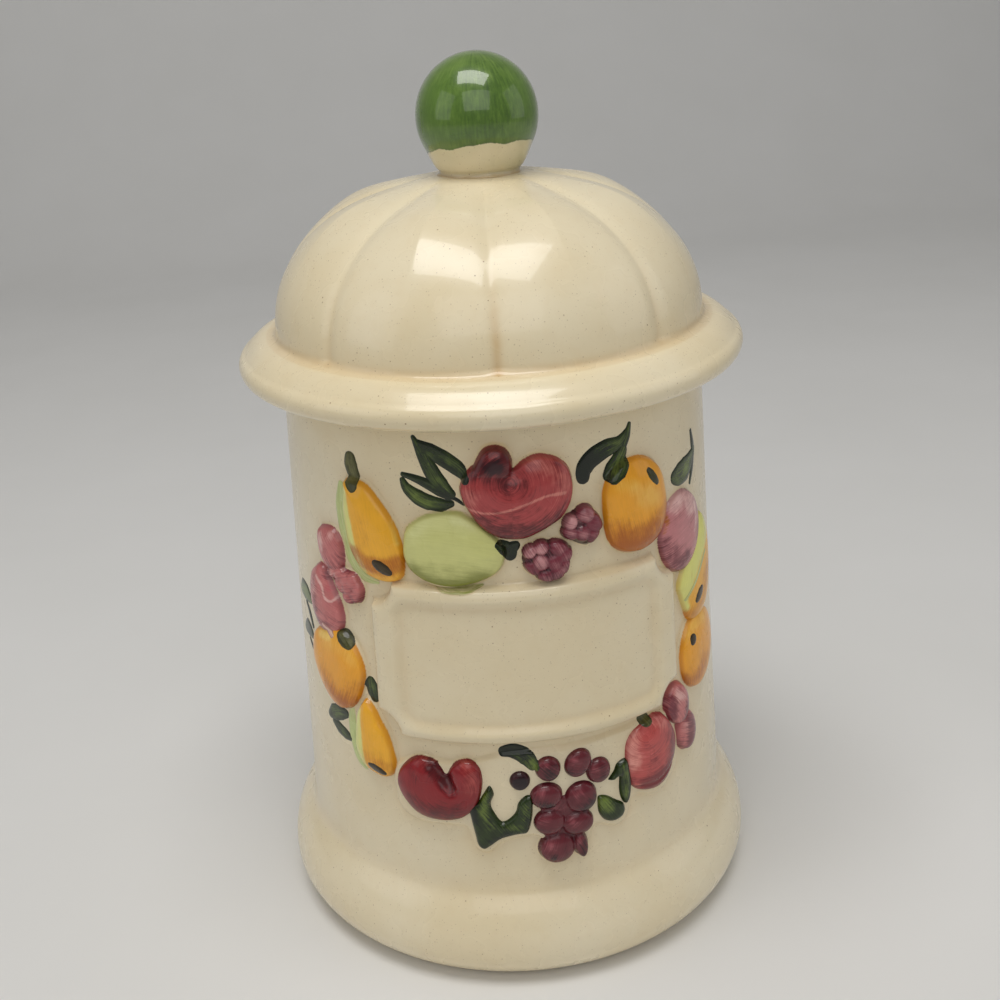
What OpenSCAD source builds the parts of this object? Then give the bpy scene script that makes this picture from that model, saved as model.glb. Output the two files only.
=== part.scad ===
// A lidded biscuit jar in cream-glazed earthenware. The jar has a rolled foot and a wreath of
// fruit sprigs pressed on round a raised plaque. The domed lid has eight melon lobes, a broad
// brim and a ball knob, and it lifts straight off.
// Millimetres, +Z up. The origin is the middle of the foot, on the surface the jar stands on.
// The front, where the plaque is, faces -Y.

/* [Jar wall] */
// Height of the jar from its resting face to its rim
jar_h = 200.5; // [190:0.5:230]
// Outer radius that the wall's slope reaches at the resting level
wall_base_r = 80; // [76:0.5:86]
// Outer radius of the wall at the rim
wall_rim_r = 71.8; // [68:0.1:78]
// Thickness of the wall
wall_t = 5; // [3.5:0.1:7]
// Thickness of the floor
floor_t = 6; // [4:0.5:9]

/* [Foot] */
// How far the rolled foot stands out from the wall's slope
foot_flare = 8; // [5:0.5:14]
// Radius of the roll below the foot's widest level
foot_low_roll = 13; // [11:0.5:16]
// Radius of the flatter roll above the foot's widest level
foot_top_roll = 28; // [24:0.5:34]
// Radius of the shallow recess inside the resting ring
recess_r = 67; // [50:1:70]
// Depth of the recess, which leaves the resting ring
recess_d = 3; // [1.5:0.5:4]

/* [Lid] */
// Outer radius of the brim
brim_r = 85.8; // [82:0.1:92]
// Radius of the brim's rolled edge
brim_roll = 4.3; // [3:0.1:5.5]
// Height of the valley between brim and dome above the brim's underside
valley_h = 13.5; // [10:0.5:16]
// Radius of the dome where it meets the brim
dome_r = 72.5; // [68:0.5:76]
// Height of the dome above the valley
dome_h = 48.5; // [40:0.5:60]
// Fullness of the dome's shoulder, where 2 is an ellipse
dome_fullness = 2.2; // [1.9:0.05:2.6]
// Thickness of the dome's wall
dome_t = 5.5; // [4:0.1:7]
// Number of melon lobes round the dome
lobes = 8; // [6:1:12]
// Turn of the first groove from the front
lobe_turn = -4.3; // [-22.5:0.1:22.5]
// Width of the grooves between the lobes
groove_w = 3; // [1.5:0.5:5]
// Depth of the grooves between the lobes
groove_d = 1; // [0.5:0.1:2]
// Depth of the locating ring under the lid
ring_h = 8; // [5:0.5:14]
// Thickness of the locating ring
ring_t = 4; // [3:0.5:6]
// Clearance of the locating ring in the jar's mouth, on each side
ring_gap = 1; // [0.5:0.1:2]

/* [Knob] */
// Radius of the ball
ball_r = 20; // [16:0.5:26]
// Radius of the knob's foot, where it stands on the dome
knob_foot_r = 12.8; // [10:0.1:15]
// Height of the taper under the ball
knob_neck_h = 8; // [5:0.5:12]
// Radius at which the taper runs into the ball
knob_neck_r = 17.3; // [15:0.1:19]
// Margin of the flat seat round the knob's foot
seat_margin = 1; // [0.5:0.5:3]

/* [Plaque] */
// Width of the plaque, measured along the wall
plaque_w = 105; // [95:1:115]
// Height of the plaque
plaque_h = 55; // [48:1:60]
// Height of the plaque's middle, as a share of the jar's height
plaque_level = 0.596; // [0.585:0.001:0.605]
// How far the plaque stands off the wall
plaque_t = 3.6; // [2.5:0.1:5]
// Radius of the scoop in each corner of the plaque
scoop_r = 8; // [4:0.5:12]
// Width of the raised border round the plaque
border_w = 5; // [3:0.5:8]
// Depth of the panel inside the border
panel_d = 1; // [0.5:0.1:1.5]

/* [Fruit] */
// Scale of every fruit and leaf in the wreath
fruit_scale = 1; // [0.95:0.01:1.03]
// How far the large fruits stand off the wall
fruit_rise = 5.25; // [4:0.25:6]
// How far the plums and berries stand off the wall
berry_rise = 4.5; // [3:0.25:5]
// How far the leaves stand off the wall
leaf_rise = 2.4; // [1.5:0.1:4]
// Gap between one sprig and the next, which glaze fills
press_gap = 0.2; // [0.1:0.05:0.5]

/* [Hidden] */
$fn = 48;
ROUND_FN = 180;
EPS = 0.01;
ARC_STEPS = 10;
DOME_STEPS = 14;

CREAM = [0.92, 0.87, 0.75];
RED = [0.58, 0.16, 0.20];
ROSE = [0.72, 0.28, 0.34];
PURPLE = [0.42, 0.18, 0.30];
MAUVE = [0.62, 0.38, 0.48];
ORANGE = [0.85, 0.52, 0.12];
YELLOW = [0.93, 0.68, 0.24];
LIME = [0.68, 0.74, 0.40];
LEAF = [0.16, 0.28, 0.14];
GREEN = [0.33, 0.48, 0.18];

// Jar
foot_r = wall_base_r + foot_flare;
mouth_r = wall_rim_r - wall_t;
floor_z = recess_d + floor_t;
low_roll_x = foot_r - foot_low_roll;
top_roll_x = foot_r - foot_top_roll;
recess_taper = 1;

// Lid
seat_z = jar_h;
valley_z = seat_z + valley_h;
ring_r = mouth_r - ring_gap;
brim_arc_end = 62;
groove_start = 0.5;
knob_seat_r = knob_foot_r + seat_margin;
knob_seat_z = valley_z + dome_z(knob_seat_r, dome_r, dome_h);
ball_z = knob_seat_z + knob_neck_h + sqrt(ball_r * ball_r - knob_neck_r * knob_neck_r);

// Plaque
plaque_z = round(2 * plaque_level * jar_h) / 2;
plaque_bottom = plaque_z - plaque_h / 2;
plaque_top = plaque_z + plaque_h / 2;
wrap_r = wall_r(plaque_z);

// The wreath's unit of length: its places and sizes grow and shrink with the plaque's height
unit = plaque_h / 55;

// Parts of a fruit, as shares of its width and, where there are two, of how far it stands out
APPLE_SHOULDER = [0.6, 0.9];
APPLE_BASE = 0.78;
PEAR_NECK = [0.48, 0.6];
PEAR_WAIST = [0.76, 0.82];
PEAR_WAIST_DROP = 0.14;
BERRY_CORE = 0.85;
DRUPELETS = 6;
DRUPELET = [0.42, 0.7];
LEAF_DOME = 1.25;
NEAR_MARGIN = 2;

function wall_r(z) = wall_base_r + (wall_rim_r - wall_base_r) * z / jar_h;

function wall_angle(x) = x / wrap_r * 180 / PI;

// Points of an arc in the plane of a lathe outline
function arc(cx, cz, r, from, to) = [
    for (i = [0:ARC_STEPS])
        let (a = from + (to - from) * i / ARC_STEPS) [cx + r * cos(a), cz + r * sin(a)]
];

// Height of the dome's outline above the valley at radius x
function dome_z(x, r, h) = h * pow(1 - pow(x / r, dome_fullness), 1 / dome_fullness);

// The dome's outline from the valley, at radius r, to radius x_end near the crown
function dome_arc(r, h, x_end) =
    let (t_end = acos(pow(x_end / r, dome_fullness / 2)))
    [
        for (i = [0:DOME_STEPS])
            let (t = t_end * i / DOME_STEPS)
            [r * pow(cos(t), 2 / dome_fullness), valley_z + h * pow(sin(t), 2 / dome_fullness)]
    ];

function reversed(list) = [for (i = [len(list) - 1:-1:0]) list[i]];

// Angle at which the foot's upper roll, of radius r, meets the wall's slope moved in by t
function roll_end(r, t) =
    let (
        lean = (wall_rim_r - wall_base_r) / jar_h,
        slope = 1 + lean * lean,
        reach = wall_r(foot_low_roll) - t - top_roll_x
    )
    asin((sqrt(r * r * slope - reach * reach) - reach * lean) / slope / r);

// The jar as a lathe outline: foot, wall, rim, then down the inside to the floor
module jar_outline() {
    hollow_roll = foot_top_roll - wall_t;
    outside = concat(
        arc(low_roll_x, foot_low_roll, foot_low_roll, -90, 0),
        arc(top_roll_x, foot_low_roll, foot_top_roll, 0, roll_end(foot_top_roll, 0))
    );
    inside = concat(
        arc(top_roll_x, foot_low_roll, hollow_roll, roll_end(hollow_roll, wall_t), 0),
        [[low_roll_x, floor_z]]
    );
    polygon(concat(
        [[0, recess_d], [recess_r - recess_taper, recess_d], [recess_r, 0]],
        outside,
        [[wall_rim_r, jar_h], [mouth_r, jar_h]],
        inside,
        [[0, floor_z]]
    ));
}

// Everything inside the wall's outer slope: what a sprig is pressed against
module wall_core() {
    cylinder(h = jar_h, r1 = wall_base_r, r2 = wall_rim_r, $fn = ROUND_FN);
}

// Puts a piece on the wall, x along the wall from the plaque's middle and z up.
// In the piece's own frame +Z points out of the wall and +Y points up it.
module on_wall(x, z) {
    rotate([0, 0, wall_angle(x)])
        translate([0, -wall_r(z), z])
            rotate([90, 0, 0])
                children();
}

// A band of the wall's slope from angle -half to +half, between two heights and two depths
module wall_band(z0, z1, t0, t1, half) {
    rotate([0, 0, -90 - half])
        rotate_extrude(angle = 2 * half, $fn = ROUND_FN)
            polygon([
                [wall_r(z0) + t0, z0], [wall_r(z0) + t1, z0],
                [wall_r(z1) + t1, z1], [wall_r(z1) + t0, z1]
            ]);
}

module plaque_blank() {
    difference() {
        wall_band(plaque_bottom, plaque_top, 0, plaque_t, wall_angle(plaque_w / 2));
        for (side = [-1, 1], end = [-1, 1])
            on_wall(side * plaque_w / 2, plaque_z + end * plaque_h / 2)
                rotate([0, 0, atan2(end, side)])
                    translate([0, 0, -wall_t])
                        cylinder(h = 3 * wall_t, r = scoop_r);
    }
}

// The room that the sprigs leave for the plaque
module plaque_cut() {
    wall_band(
        plaque_bottom - press_gap, plaque_top + press_gap, -wall_t / 2, 3 * fruit_rise,
        wall_angle(plaque_w / 2 + press_gap)
    );
}

// Radius of the ball whose cap is d across and stands this far off the wall
function cap_r(d, rise) = (d * d / 4 + rise * rise) / (2 * rise);

// A ball whose poles lie along the wall and whose seam faces into it
module ball(r) {
    rotate([-90, 90, 0])
        sphere(r = r);
}

module cap(d, rise, grow) {
    r = cap_r(d, rise);
    translate([0, 0, rise - r])
        ball(r + grow);
}

// A plum, an orange or a lime: two caps a little apart along the fruit's length
module egg(size, rise, grow) {
    shift = (size[1] - size[0]) / 2;
    translate([0, shift, 0])
        cap(size[0], rise, grow);
    if (shift > 0)
        translate([0, -shift, 0])
            cap(size[0], rise, grow);
}

// An apple: two shoulders with a notch between them over a fuller base
module apple(size, rise, grow) {
    shoulder = size[0] * APPLE_SHOULDER[0];
    base = size[0] * APPLE_BASE;
    for (side = [-1, 1])
        translate([side * (size[0] - shoulder) / 2, (size[1] - shoulder) / 2, 0])
            cap(shoulder, rise * APPLE_SHOULDER[1], grow);
    translate([0, -(size[1] - base) / 2, 0])
        cap(base, rise, grow);
}

// A pear: a belly, a smaller neck and a waist between them
module pear(size, rise, grow) {
    neck = size[0] * PEAR_NECK[0];
    waist = size[0] * PEAR_WAIST[0];
    translate([0, -(size[1] - size[0]) / 2, 0])
        cap(size[0], rise, grow);
    translate([0, (size[1] - waist) / 2 - size[1] * PEAR_WAIST_DROP, 0])
        cap(waist, rise * PEAR_WAIST[1], grow);
    translate([0, (size[1] - neck) / 2, 0])
        cap(neck, rise * PEAR_NECK[1], grow);
}

// A blackberry: one cap with a ring of drupelets standing out of it
module berry(size, rise, grow) {
    drupelet_d = size[0] * DRUPELET[0];
    cap(size[0] * BERRY_CORE, rise, grow);
    for (i = [1:DRUPELETS])
        rotate([0, 0, 360 * i / DRUPELETS])
            translate([(size[0] - drupelet_d) / 2, 0, 0])
                cap(drupelet_d, rise * DRUPELET[1], grow);
}

// A leaf: the overlap of two arcs, pointed at both ends, under a low dome
module leaf(size, rise, grow) {
    w = size[0] + 2 * grow;
    l = size[1] + 2 * grow;
    side_r = (l * l + w * w) / (4 * w);
    intersection() {
        translate([0, 0, -wall_t])
            linear_extrude(height = wall_t + 2 * rise)
                intersection() {
                    translate([side_r - w / 2, 0])
                        circle(r = side_r, $fn = ROUND_FN);
                    translate([w / 2 - side_r, 0])
                        circle(r = side_r, $fn = ROUND_FN);
                }
        cap(l * LEAF_DOME, rise, grow, $fn = ROUND_FN);
    }
}

// The wreath, in the order it is pressed on: [node, kind, side, end, across, up, turn, size, rise].
// side and end pick the plaque's edge (-1 left or bottom, 0 the middle, 1 right or top) from
// which across and up are measured. These and the size are in units, and turn is anticlockwise.
WREATH = [
    ["top_apple", "apple", 0, 1, -2, 30, 0, [34, 28.9], fruit_rise],
    ["upper_pear", "pear", -1, 1, 1, 16.5, 12, [21, 33], fruit_rise],
    ["lime", "egg", 0, 1, -23.2, 12.5, 82, [25, 31], fruit_rise],
    ["top_orange", "egg", 1, 1, -14, 19.5, 7, [25, 31], fruit_rise],
    ["top_berries", "berry", 0, 1, 6, 8, 10, [15.5, 15.5], berry_rise * 1.05],
    ["top_berries", "berry", 0, 1, 18, 17.5, 35, [14.5, 14.5], berry_rise * 1.05],
    ["left_plums", "egg", -1, 1, -18.7, 5.5, 5, [13, 15], berry_rise],
    ["left_plums", "egg", -1, 1, -23.5, -15, -4, [18, 25], berry_rise],
    ["left_plums", "berry", -1, 1, -9.7, -6.7, 15, [13, 13], berry_rise],
    ["left_orange", "egg", -1, 0, -20.5, -11.5, 84, [26.5, 28.5], fruit_rise],
    ["lower_pear", "pear", -1, -1, -3.7, -5, 6, [16, 28], fruit_rise * 0.9],
    ["bottom_apple", "apple", 0, -1, -32.6, -18.2, -6, [28, 25], fruit_rise],
    ["bottom_leaves", "leaf", 0, -1, -18, -26.5, 4, [9.5, 25], leaf_rise],
    ["bottom_leaves", "leaf", 0, -1, -10, -28, -38, [9.5, 25], leaf_rise],
    ["grape_bunch", "egg", 0, -1, 2.4, -9.5, 10, [8.5, 9], berry_rise * 0.8],
    ["grape_bunch", "egg", 0, -1, 12, -9, -25, [8.5, 10], berry_rise * 0.8],
    ["grape_bunch", "egg", 0, -1, 18.7, -13.4, 0, [9, 9], berry_rise * 0.8],
    ["grape_bunch", "egg", 0, -1, 2, -19.5, 0, [10, 10], berry_rise],
    ["grape_bunch", "egg", 0, -1, 12.3, -22.5, 0, [11, 11], berry_rise],
    ["grape_bunch", "egg", 0, -1, 2.6, -29, 0, [10, 10], berry_rise],
    ["grape_bunch", "egg", 0, -1, 11.5, -31.5, 0, [10, 10], berry_rise],
    ["grape_bunch", "egg", 0, -1, 5, -41, 12, [13.5, 14], berry_rise],
    ["grape_bunch", "egg", 0, -1, 12, -42, 0, [7, 7], berry_rise * 0.6],
    ["grape_bunch", "egg", 0, -1, -6.8, -13, 0, [7, 7], berry_rise * 0.5],
    ["right_apple", "apple", 1, -1, -12.3, -16.5, 0, [22.5, 28.5], fruit_rise],
    ["grape_leaves", "leaf", 0, -1, 26.4, -21, -6, [6.5, 20], leaf_rise],
    ["grape_leaves", "leaf", 0, -1, 22.5, -30, 60, [8.5, 13], leaf_rise],
    ["right_berries", "egg", 1, -1, 0.8, -3.8, 20, [12.5, 16.5], berry_rise],
    ["right_berries", "egg", 1, -1, 6, -17.3, 10, [12, 13.5], berry_rise],
    ["right_orange", "egg", 1, 0, 17, -18, -6, [24, 27], fruit_rise * 0.8],
    ["mauve_plum", "egg", 1, 1, 7, 2.2, 8, [24.5, 28.5], fruit_rise * 0.8],
    ["right_pear", "pear", 1, 0, 17.5, 14.5, -22, [24, 36], fruit_rise * 0.8]
];

function sprig_x(s) = s[2] * plaque_w / 2 + s[4] * unit;

function sprig_z(s) = plaque_z + s[3] * plaque_h / 2 + s[5] * unit;

function sprig_size(s) = s[7] * unit * fruit_scale;

function near(a, b) =
    let (apart = norm([sprig_x(a) - sprig_x(b), sprig_z(a) - sprig_z(b)]))
    apart < (max(sprig_size(a)) + max(sprig_size(b))) / 2 + NEAR_MARGIN;

module sprig_shape(s, grow) {
    on_wall(sprig_x(s), sprig_z(s))
        rotate([0, 0, s[6]]) {
            if (s[1] == "egg") egg(sprig_size(s), s[8], grow);
            if (s[1] == "apple") apple(sprig_size(s), s[8], grow);
            if (s[1] == "pear") pear(sprig_size(s), s[8], grow);
            if (s[1] == "berry") berry(sprig_size(s), s[8], grow);
            if (s[1] == "leaf") leaf(sprig_size(s), s[8], grow);
        }
}

// One node's sprigs, cut to the wall, the plaque and the sprigs pressed on before them
module sprigs(name) {
    own = [for (i = [0:len(WREATH) - 1]) if (WREATH[i][0] == name) i];
    difference() {
        difference() {
            difference() {
                union() {
                    for (i = own)
                        sprig_shape(WREATH[i], 0);
                }
                wall_core();
            }
            plaque_cut();
        }
        for (j = [0:1:own[0] - 1])
            if (len([for (i = own) if (near(WREATH[i], WREATH[j])) i]) > 0)
                sprig_shape(WREATH[j], press_gap);
    }
}

module jar_body() {
    color(CREAM)
        rotate_extrude($fn = ROUND_FN)
            jar_outline();
}

module plaque() {
    border_angle = wall_angle(plaque_w / 2 - border_w - scoop_r / 2);
    color(CREAM)
        difference() {
            plaque_blank();
            wall_band(
                plaque_bottom + border_w, plaque_top - border_w,
                plaque_t - panel_d, plaque_t + panel_d, border_angle
            );
        }
}

module dome_solid(r, h) {
    rotate_extrude($fn = ROUND_FN)
        polygon(concat(
            [[0, valley_z - EPS], [r, valley_z - EPS]],
            dome_arc(r, h, knob_seat_r),
            [[0, valley_z + dome_z(knob_seat_r, r, h)]]
        ));
}

module lid_outline() {
    hollow_r = dome_r - dome_t;
    hollow_h = dome_h - dome_t;
    hollow = dome_arc(hollow_r, hollow_h, knob_seat_r / 2);
    polygon(concat(
        [
            [ring_r - ring_t, seat_z - ring_h], [ring_r, seat_z - ring_h], [ring_r, seat_z]
        ],
        arc(brim_r - brim_roll, seat_z + brim_roll, brim_roll, -90, brim_arc_end),
        dome_arc(dome_r, dome_h, knob_seat_r),
        [[0, knob_seat_z], [0, valley_z + dome_z(knob_seat_r / 2, hollow_r, hollow_h)]],
        reversed(hollow),
        [[ring_r - ring_t, seat_z + ring_t]]
    ));
}

module lid() {
    color(CREAM)
        difference() {
            rotate_extrude($fn = ROUND_FN)
                lid_outline();
            difference() {
                for (i = [0:lobes - 1])
                    rotate([0, 0, lobe_turn - 90 + 360 * i / lobes])
                        translate([knob_seat_r + groove_w, -groove_w / 2, valley_z + groove_start])
                            cube([dome_r, groove_w, dome_h]);
                dome_solid(dome_r - groove_d, dome_h - groove_d);
            }
        }
}

module knob() {
    color(GREEN)
        translate([0, 0, knob_seat_z]) {
            cylinder(h = knob_neck_h, r1 = knob_foot_r, r2 = knob_neck_r);
            intersection() {
                translate([0, 0, ball_z - knob_seat_z])
                    sphere(r = ball_r);
                translate([0, 0, knob_neck_h])
                    cylinder(h = 2 * ball_r, r = 2 * ball_r);
            }
        }
}

module top_apple() { color(RED) sprigs("top_apple"); }
module lime() { color(LIME) sprigs("lime"); }
module upper_pear() { color(YELLOW) sprigs("upper_pear"); }
module left_plums() { color(ROSE) sprigs("left_plums"); }
module left_orange() { color(ORANGE) sprigs("left_orange"); }
module lower_pear() { color(YELLOW) sprigs("lower_pear"); }
module bottom_apple() { color(RED) sprigs("bottom_apple"); }
module bottom_leaves() { color(LEAF) sprigs("bottom_leaves"); }
module grape_bunch() { color(PURPLE) sprigs("grape_bunch"); }
module grape_leaves() { color(LEAF) sprigs("grape_leaves"); }
module right_apple() { color(ROSE) sprigs("right_apple"); }
module right_berries() { color(MAUVE) sprigs("right_berries"); }
module right_orange() { color(ORANGE) sprigs("right_orange"); }
module right_pear() { color(LIME) sprigs("right_pear"); }
module mauve_plum() { color(MAUVE) sprigs("mauve_plum"); }
module top_orange() { color(ORANGE) sprigs("top_orange"); }
module top_berries() { color(PURPLE) sprigs("top_berries"); }

jar_body();
plaque();
top_apple();
lime();
upper_pear();
left_plums();
left_orange();
lower_pear();
bottom_apple();
bottom_leaves();
grape_bunch();
grape_leaves();
right_apple();
right_berries();
right_orange();
right_pear();
mauve_plum();
top_orange();
top_berries();
lid();
knob();
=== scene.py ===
# %% [markdown]
# # A biscuit jar in cream glaze with a painted fruit wreath
# The object is slip-cast earthenware: a jar with a rolled foot, and a domed lid with a ball knob.
# Plaster moulds give it its raised fruit and plaque. A painter brushes coloured glaze on the
# fruit, and a clear cream glaze covers everything else and pools in each hollow.
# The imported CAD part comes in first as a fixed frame. Each piece made here lies on it.

# %% Load the frame
import math

import bpy
import numpy as np
from mathutils import Matrix, Vector


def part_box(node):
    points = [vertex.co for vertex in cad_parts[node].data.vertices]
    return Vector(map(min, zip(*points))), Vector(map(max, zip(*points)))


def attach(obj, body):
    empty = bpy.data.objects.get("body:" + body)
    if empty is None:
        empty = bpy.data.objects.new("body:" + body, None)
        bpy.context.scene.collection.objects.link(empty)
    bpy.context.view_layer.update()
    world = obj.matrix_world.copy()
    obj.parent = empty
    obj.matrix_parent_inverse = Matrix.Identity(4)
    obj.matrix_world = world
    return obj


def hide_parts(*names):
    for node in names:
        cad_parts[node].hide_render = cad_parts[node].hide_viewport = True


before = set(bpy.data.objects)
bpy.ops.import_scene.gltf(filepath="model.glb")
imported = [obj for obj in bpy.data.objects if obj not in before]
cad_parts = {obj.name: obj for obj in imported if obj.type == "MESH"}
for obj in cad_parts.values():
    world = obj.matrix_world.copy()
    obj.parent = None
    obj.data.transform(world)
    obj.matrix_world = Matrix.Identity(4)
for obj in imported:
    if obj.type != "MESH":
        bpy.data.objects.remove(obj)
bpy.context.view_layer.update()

MM = 0.001
print("nodes:", len(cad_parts))

# %% [markdown]
# ## Measures
# The jar's height and foot, and later the lid's brim and the knob, are read off the frame's own
# boxes, so that the glaze and the clay agree. The other sizes repeat those of the clay. The wall
# leans in a little: it is 80 mm from the axis at the table and 71.8 mm at the rim. A place on
# the wall is given as x, the millimetres round the wall from the middle of the plaque, and z,
# the height. That is how a mould maker lays out a wreath: flat, then wrapped.

# %% Sizes of the jar and its wall
jar_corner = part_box("jar_body")[1]
RIM_Z = jar_corner.z / MM
FOOT_R = jar_corner.x / MM
WALL_BASE_R, WALL_RIM_R, WALL_T = 80.0, 71.8, 5.0
MOUTH_R = WALL_RIM_R - WALL_T
PLAQUE_Z, PLAQUE_W, PLAQUE_H = 119.5, 105.0, 55.0


def wall_r(z):
    """The wall's outer radius at a height."""
    return WALL_BASE_R + (WALL_RIM_R - WALL_BASE_R) * z / RIM_Z


WRAP_R = wall_r(PLAQUE_Z)
print("rim at", round(RIM_Z, 1), "mm; foot radius", round(FOOT_R, 1), "mm")
print("the wreath wraps on a radius of", round(WRAP_R, 1), "mm")

# %% [markdown]
# ## Making meshes from arrays
# A cast pot has no straight edges, and its relief is soft everywhere. Sculpting that by hand is
# slow to repeat, so each surface is a fine grid of points whose heights come from a formula.
# The grid is a numpy array, which Blender takes in one step, and each point also carries a few
# numbers, such as how deep a colour lies there, that the materials read later.

# %% Grid meshes
def mesh_from(name, points, quads, numbers=None, vectors=None):
    """A smooth mesh in metres from points in millimetres, with its painting numbers."""
    mesh = bpy.data.meshes.new(name)
    mesh.vertices.add(len(points))
    mesh.vertices.foreach_set("co", (np.asarray(points, float) * MM).ravel())
    quads = np.asarray(quads, int)
    mesh.loops.add(quads.size)
    mesh.loops.foreach_set("vertex_index", quads.ravel())
    mesh.polygons.add(len(quads))
    mesh.polygons.foreach_set("loop_start", np.arange(len(quads)) * quads.shape[1])
    mesh.polygons.foreach_set("use_smooth", np.ones(len(quads), bool))
    mesh.update(calc_edges=True)
    for key, values in (numbers or {}).items():
        layer = mesh.attributes.new(key, "FLOAT", "POINT")
        layer.data.foreach_set("value", np.asarray(values, np.float32).ravel())
    for key, values in (vectors or {}).items():
        layer = mesh.attributes.new(key, "FLOAT_VECTOR", "POINT")
        layer.data.foreach_set("vector", np.asarray(values, np.float32).ravel())
    piece = bpy.data.objects.new(name, mesh)
    bpy.context.scene.collection.objects.link(piece)
    return piece


def grid_quads(rows, columns, wrap=False):
    """Quads of a grid whose points run row by row; with wrap, each row closes on itself."""
    across = columns if wrap else columns - 1
    i, j = np.meshgrid(np.arange(rows - 1), np.arange(across), indexing="ij")
    k = (j + 1) % columns
    corners = [i * columns + j, i * columns + k, (i + 1) * columns + k, (i + 1) * columns + j]
    return np.stack(corners, -1).reshape(-1, 4)


print("grid of 3 x 4 points, closed:", len(grid_quads(3, 4, wrap=True)), "quads")

# %% [markdown]
# A thrown or cast round is a lathe form: an outline that turns about the axis. A Screw modifier
# would turn it too, but every point has to carry painting numbers and move by its own amount,
# and that is easy on a grid. So the outline is resampled until its points lie close together, and
# then turned. A real pot is never quite round, so a slow wobble is added later.

# %% Lathe forms
def resample(outline, step):
    """The outline with points about step millimetres apart, its corners kept."""
    out = []
    for (x0, z0), (x1, z1) in zip(outline[:-1], outline[1:]):
        n = max(1, int(math.ceil(math.hypot(x1 - x0, z1 - z0) / step)))
        out += [(x0 + (x1 - x0) * i / n, z0 + (z1 - z0) * i / n) for i in range(n)]
    return np.array(out + [tuple(outline[-1])])


def arc(cx, cz, r, start, end, n):
    """Points of an arc in the plane of an outline, in degrees, at n even steps."""
    turns = [math.radians(start + (end - start) * i / n) for i in range(n + 1)]
    return [(cx + r * math.cos(t), cz + r * math.sin(t)) for t in turns]


def lathe_points(outline, turns, shape):
    """Points of a lathe form, with r, z and the angle from the front of each.

    shape(r, z, angle) moves r and z."""
    angle = np.arange(turns) * 2 * np.pi / turns
    r, a = np.meshgrid(outline[:, 0], angle, indexing="ij")
    z = np.meshgrid(outline[:, 1], angle, indexing="ij")[0]
    r, z = shape(r, z, a)
    return np.stack([r * np.sin(a), -r * np.cos(a), z], -1), r, z, a


print("a straight of 10 mm at 3 mm steps:", len(resample([(0, 0), (0, 10)], 3)), "points")

# %% [markdown]
# Glaze is thick enough to round every angle of the clay. On an outline, that is done by easing
# each point towards the middle of its two neighbours, many times over, where it should be soft.

# %% Soft steps and softened outlines
def smooth(low, high, value):
    """0 below low, 1 above high, and a soft S between them."""
    t = np.clip((value - low) / (high - low), 0, 1)
    return t * t * (3 - 2 * t)


def ease(line, share, passes):
    """Eases the points of an outline towards their neighbours, each by its share."""
    share = share[1:-1, None]
    for _ in range(passes):
        between = 0.25 * line[:-2] + 0.5 * line[1:-1] + 0.25 * line[2:]
        line[1:-1] += share * (between - line[1:-1])
    return line


corner = ease(np.array([(0.0, 0.0), (1.0, 0.0), (1.0, 1.0)]), np.ones(3), 1)
print("a square corner after one pass:", corner[1])

# %% [markdown]
# ## Outlines and strokes on the wall
# A fruit is a soft dome over an outline. The outline is drawn as a few points, as on tracing
# paper, and a smooth closed curve runs through them. The distance from each grid point to that
# curve gives the dome's height, the painted edge and the rim where the glaze pools.

# %% Curves
def smooth_curve(points, closed, n=10):
    """A Catmull-Rom curve through the points, with n steps from each to the next."""
    p = np.asarray(points, float)
    if closed:
        p = np.vstack([p[-1], p, p[0], p[1]])
    else:
        p = np.vstack([2 * p[0] - p[1], p, 2 * p[-1] - p[-2]])
    t = np.linspace(0, 1, n, endpoint=False)[:, None]
    out = []
    for i in range(1, len(p) - 2):
        a, b, c, d = p[i - 1], p[i], p[i + 1], p[i + 2]
        square, cube = 2 * a - 5 * b + 4 * c - d, 3 * b - a - 3 * c + d
        out.append(0.5 * (2 * b + (c - a) * t + square * t**2 + cube * t**3))
    out = np.vstack(out)
    return out if closed else np.vstack([out, p[-2]])


def oval(x, z, w, h, turn=0.0, n=14):
    """An oval outline, turned anticlockwise by so many degrees."""
    t = np.arange(n) * 2 * np.pi / n
    c, s = math.cos(math.radians(turn)), math.sin(math.radians(turn))
    u, v = w / 2 * np.cos(t), h / 2 * np.sin(t)
    return [(x + a * c - b * s, z + a * s + b * c) for a, b in zip(u, v)]


print("a round through 14 points:", len(smooth_curve(oval(0, 0, 10, 10), True)), "points")

# %% Distances
def distance_to(line, x, z, closed=False):
    """Distance from each point to a line."""
    a = np.asarray(line, float)
    b = np.roll(a, -1, 0) if closed else a[1:]
    a = a if closed else a[:-1]
    best = np.full(x.shape, 1e9)
    for (ax, az), (bx, bz) in zip(a, b):
        dx, dz = bx - ax, bz - az
        t = np.clip(((x - ax) * dx + (z - az) * dz) / max(dx * dx + dz * dz, 1e-12), 0, 1)
        best = np.minimum(best, np.hypot(x - ax - t * dx, z - az - t * dz))
    return best


def inside_distance(curve, x, z):
    """Distance to a closed curve, positive inside it and negative outside."""
    d = distance_to(curve, x, z, closed=True)
    inside = np.zeros(x.shape, bool)
    for (ax, az), (bx, bz) in zip(curve, np.roll(curve, -1, 0)):
        if az != bz:
            crosses = x < (bx - ax) * (z - az) / (bz - az) + ax
            inside ^= ((az > z) != (bz > z)) & crosses
    return np.where(inside, d, -d)


square = np.array([(-5, -5), (5, -5), (5, 5), (-5, 5)], float)
print("distance inside a 10 mm square's middle:", inside_distance(square, *np.zeros((2, 1)))[0])

# %% [markdown]
# The wall itself is given by a radius for each height, with two slow waves round it. Every
# raised piece and every stroke is laid on this same surface, so nothing floats or sinks.

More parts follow.
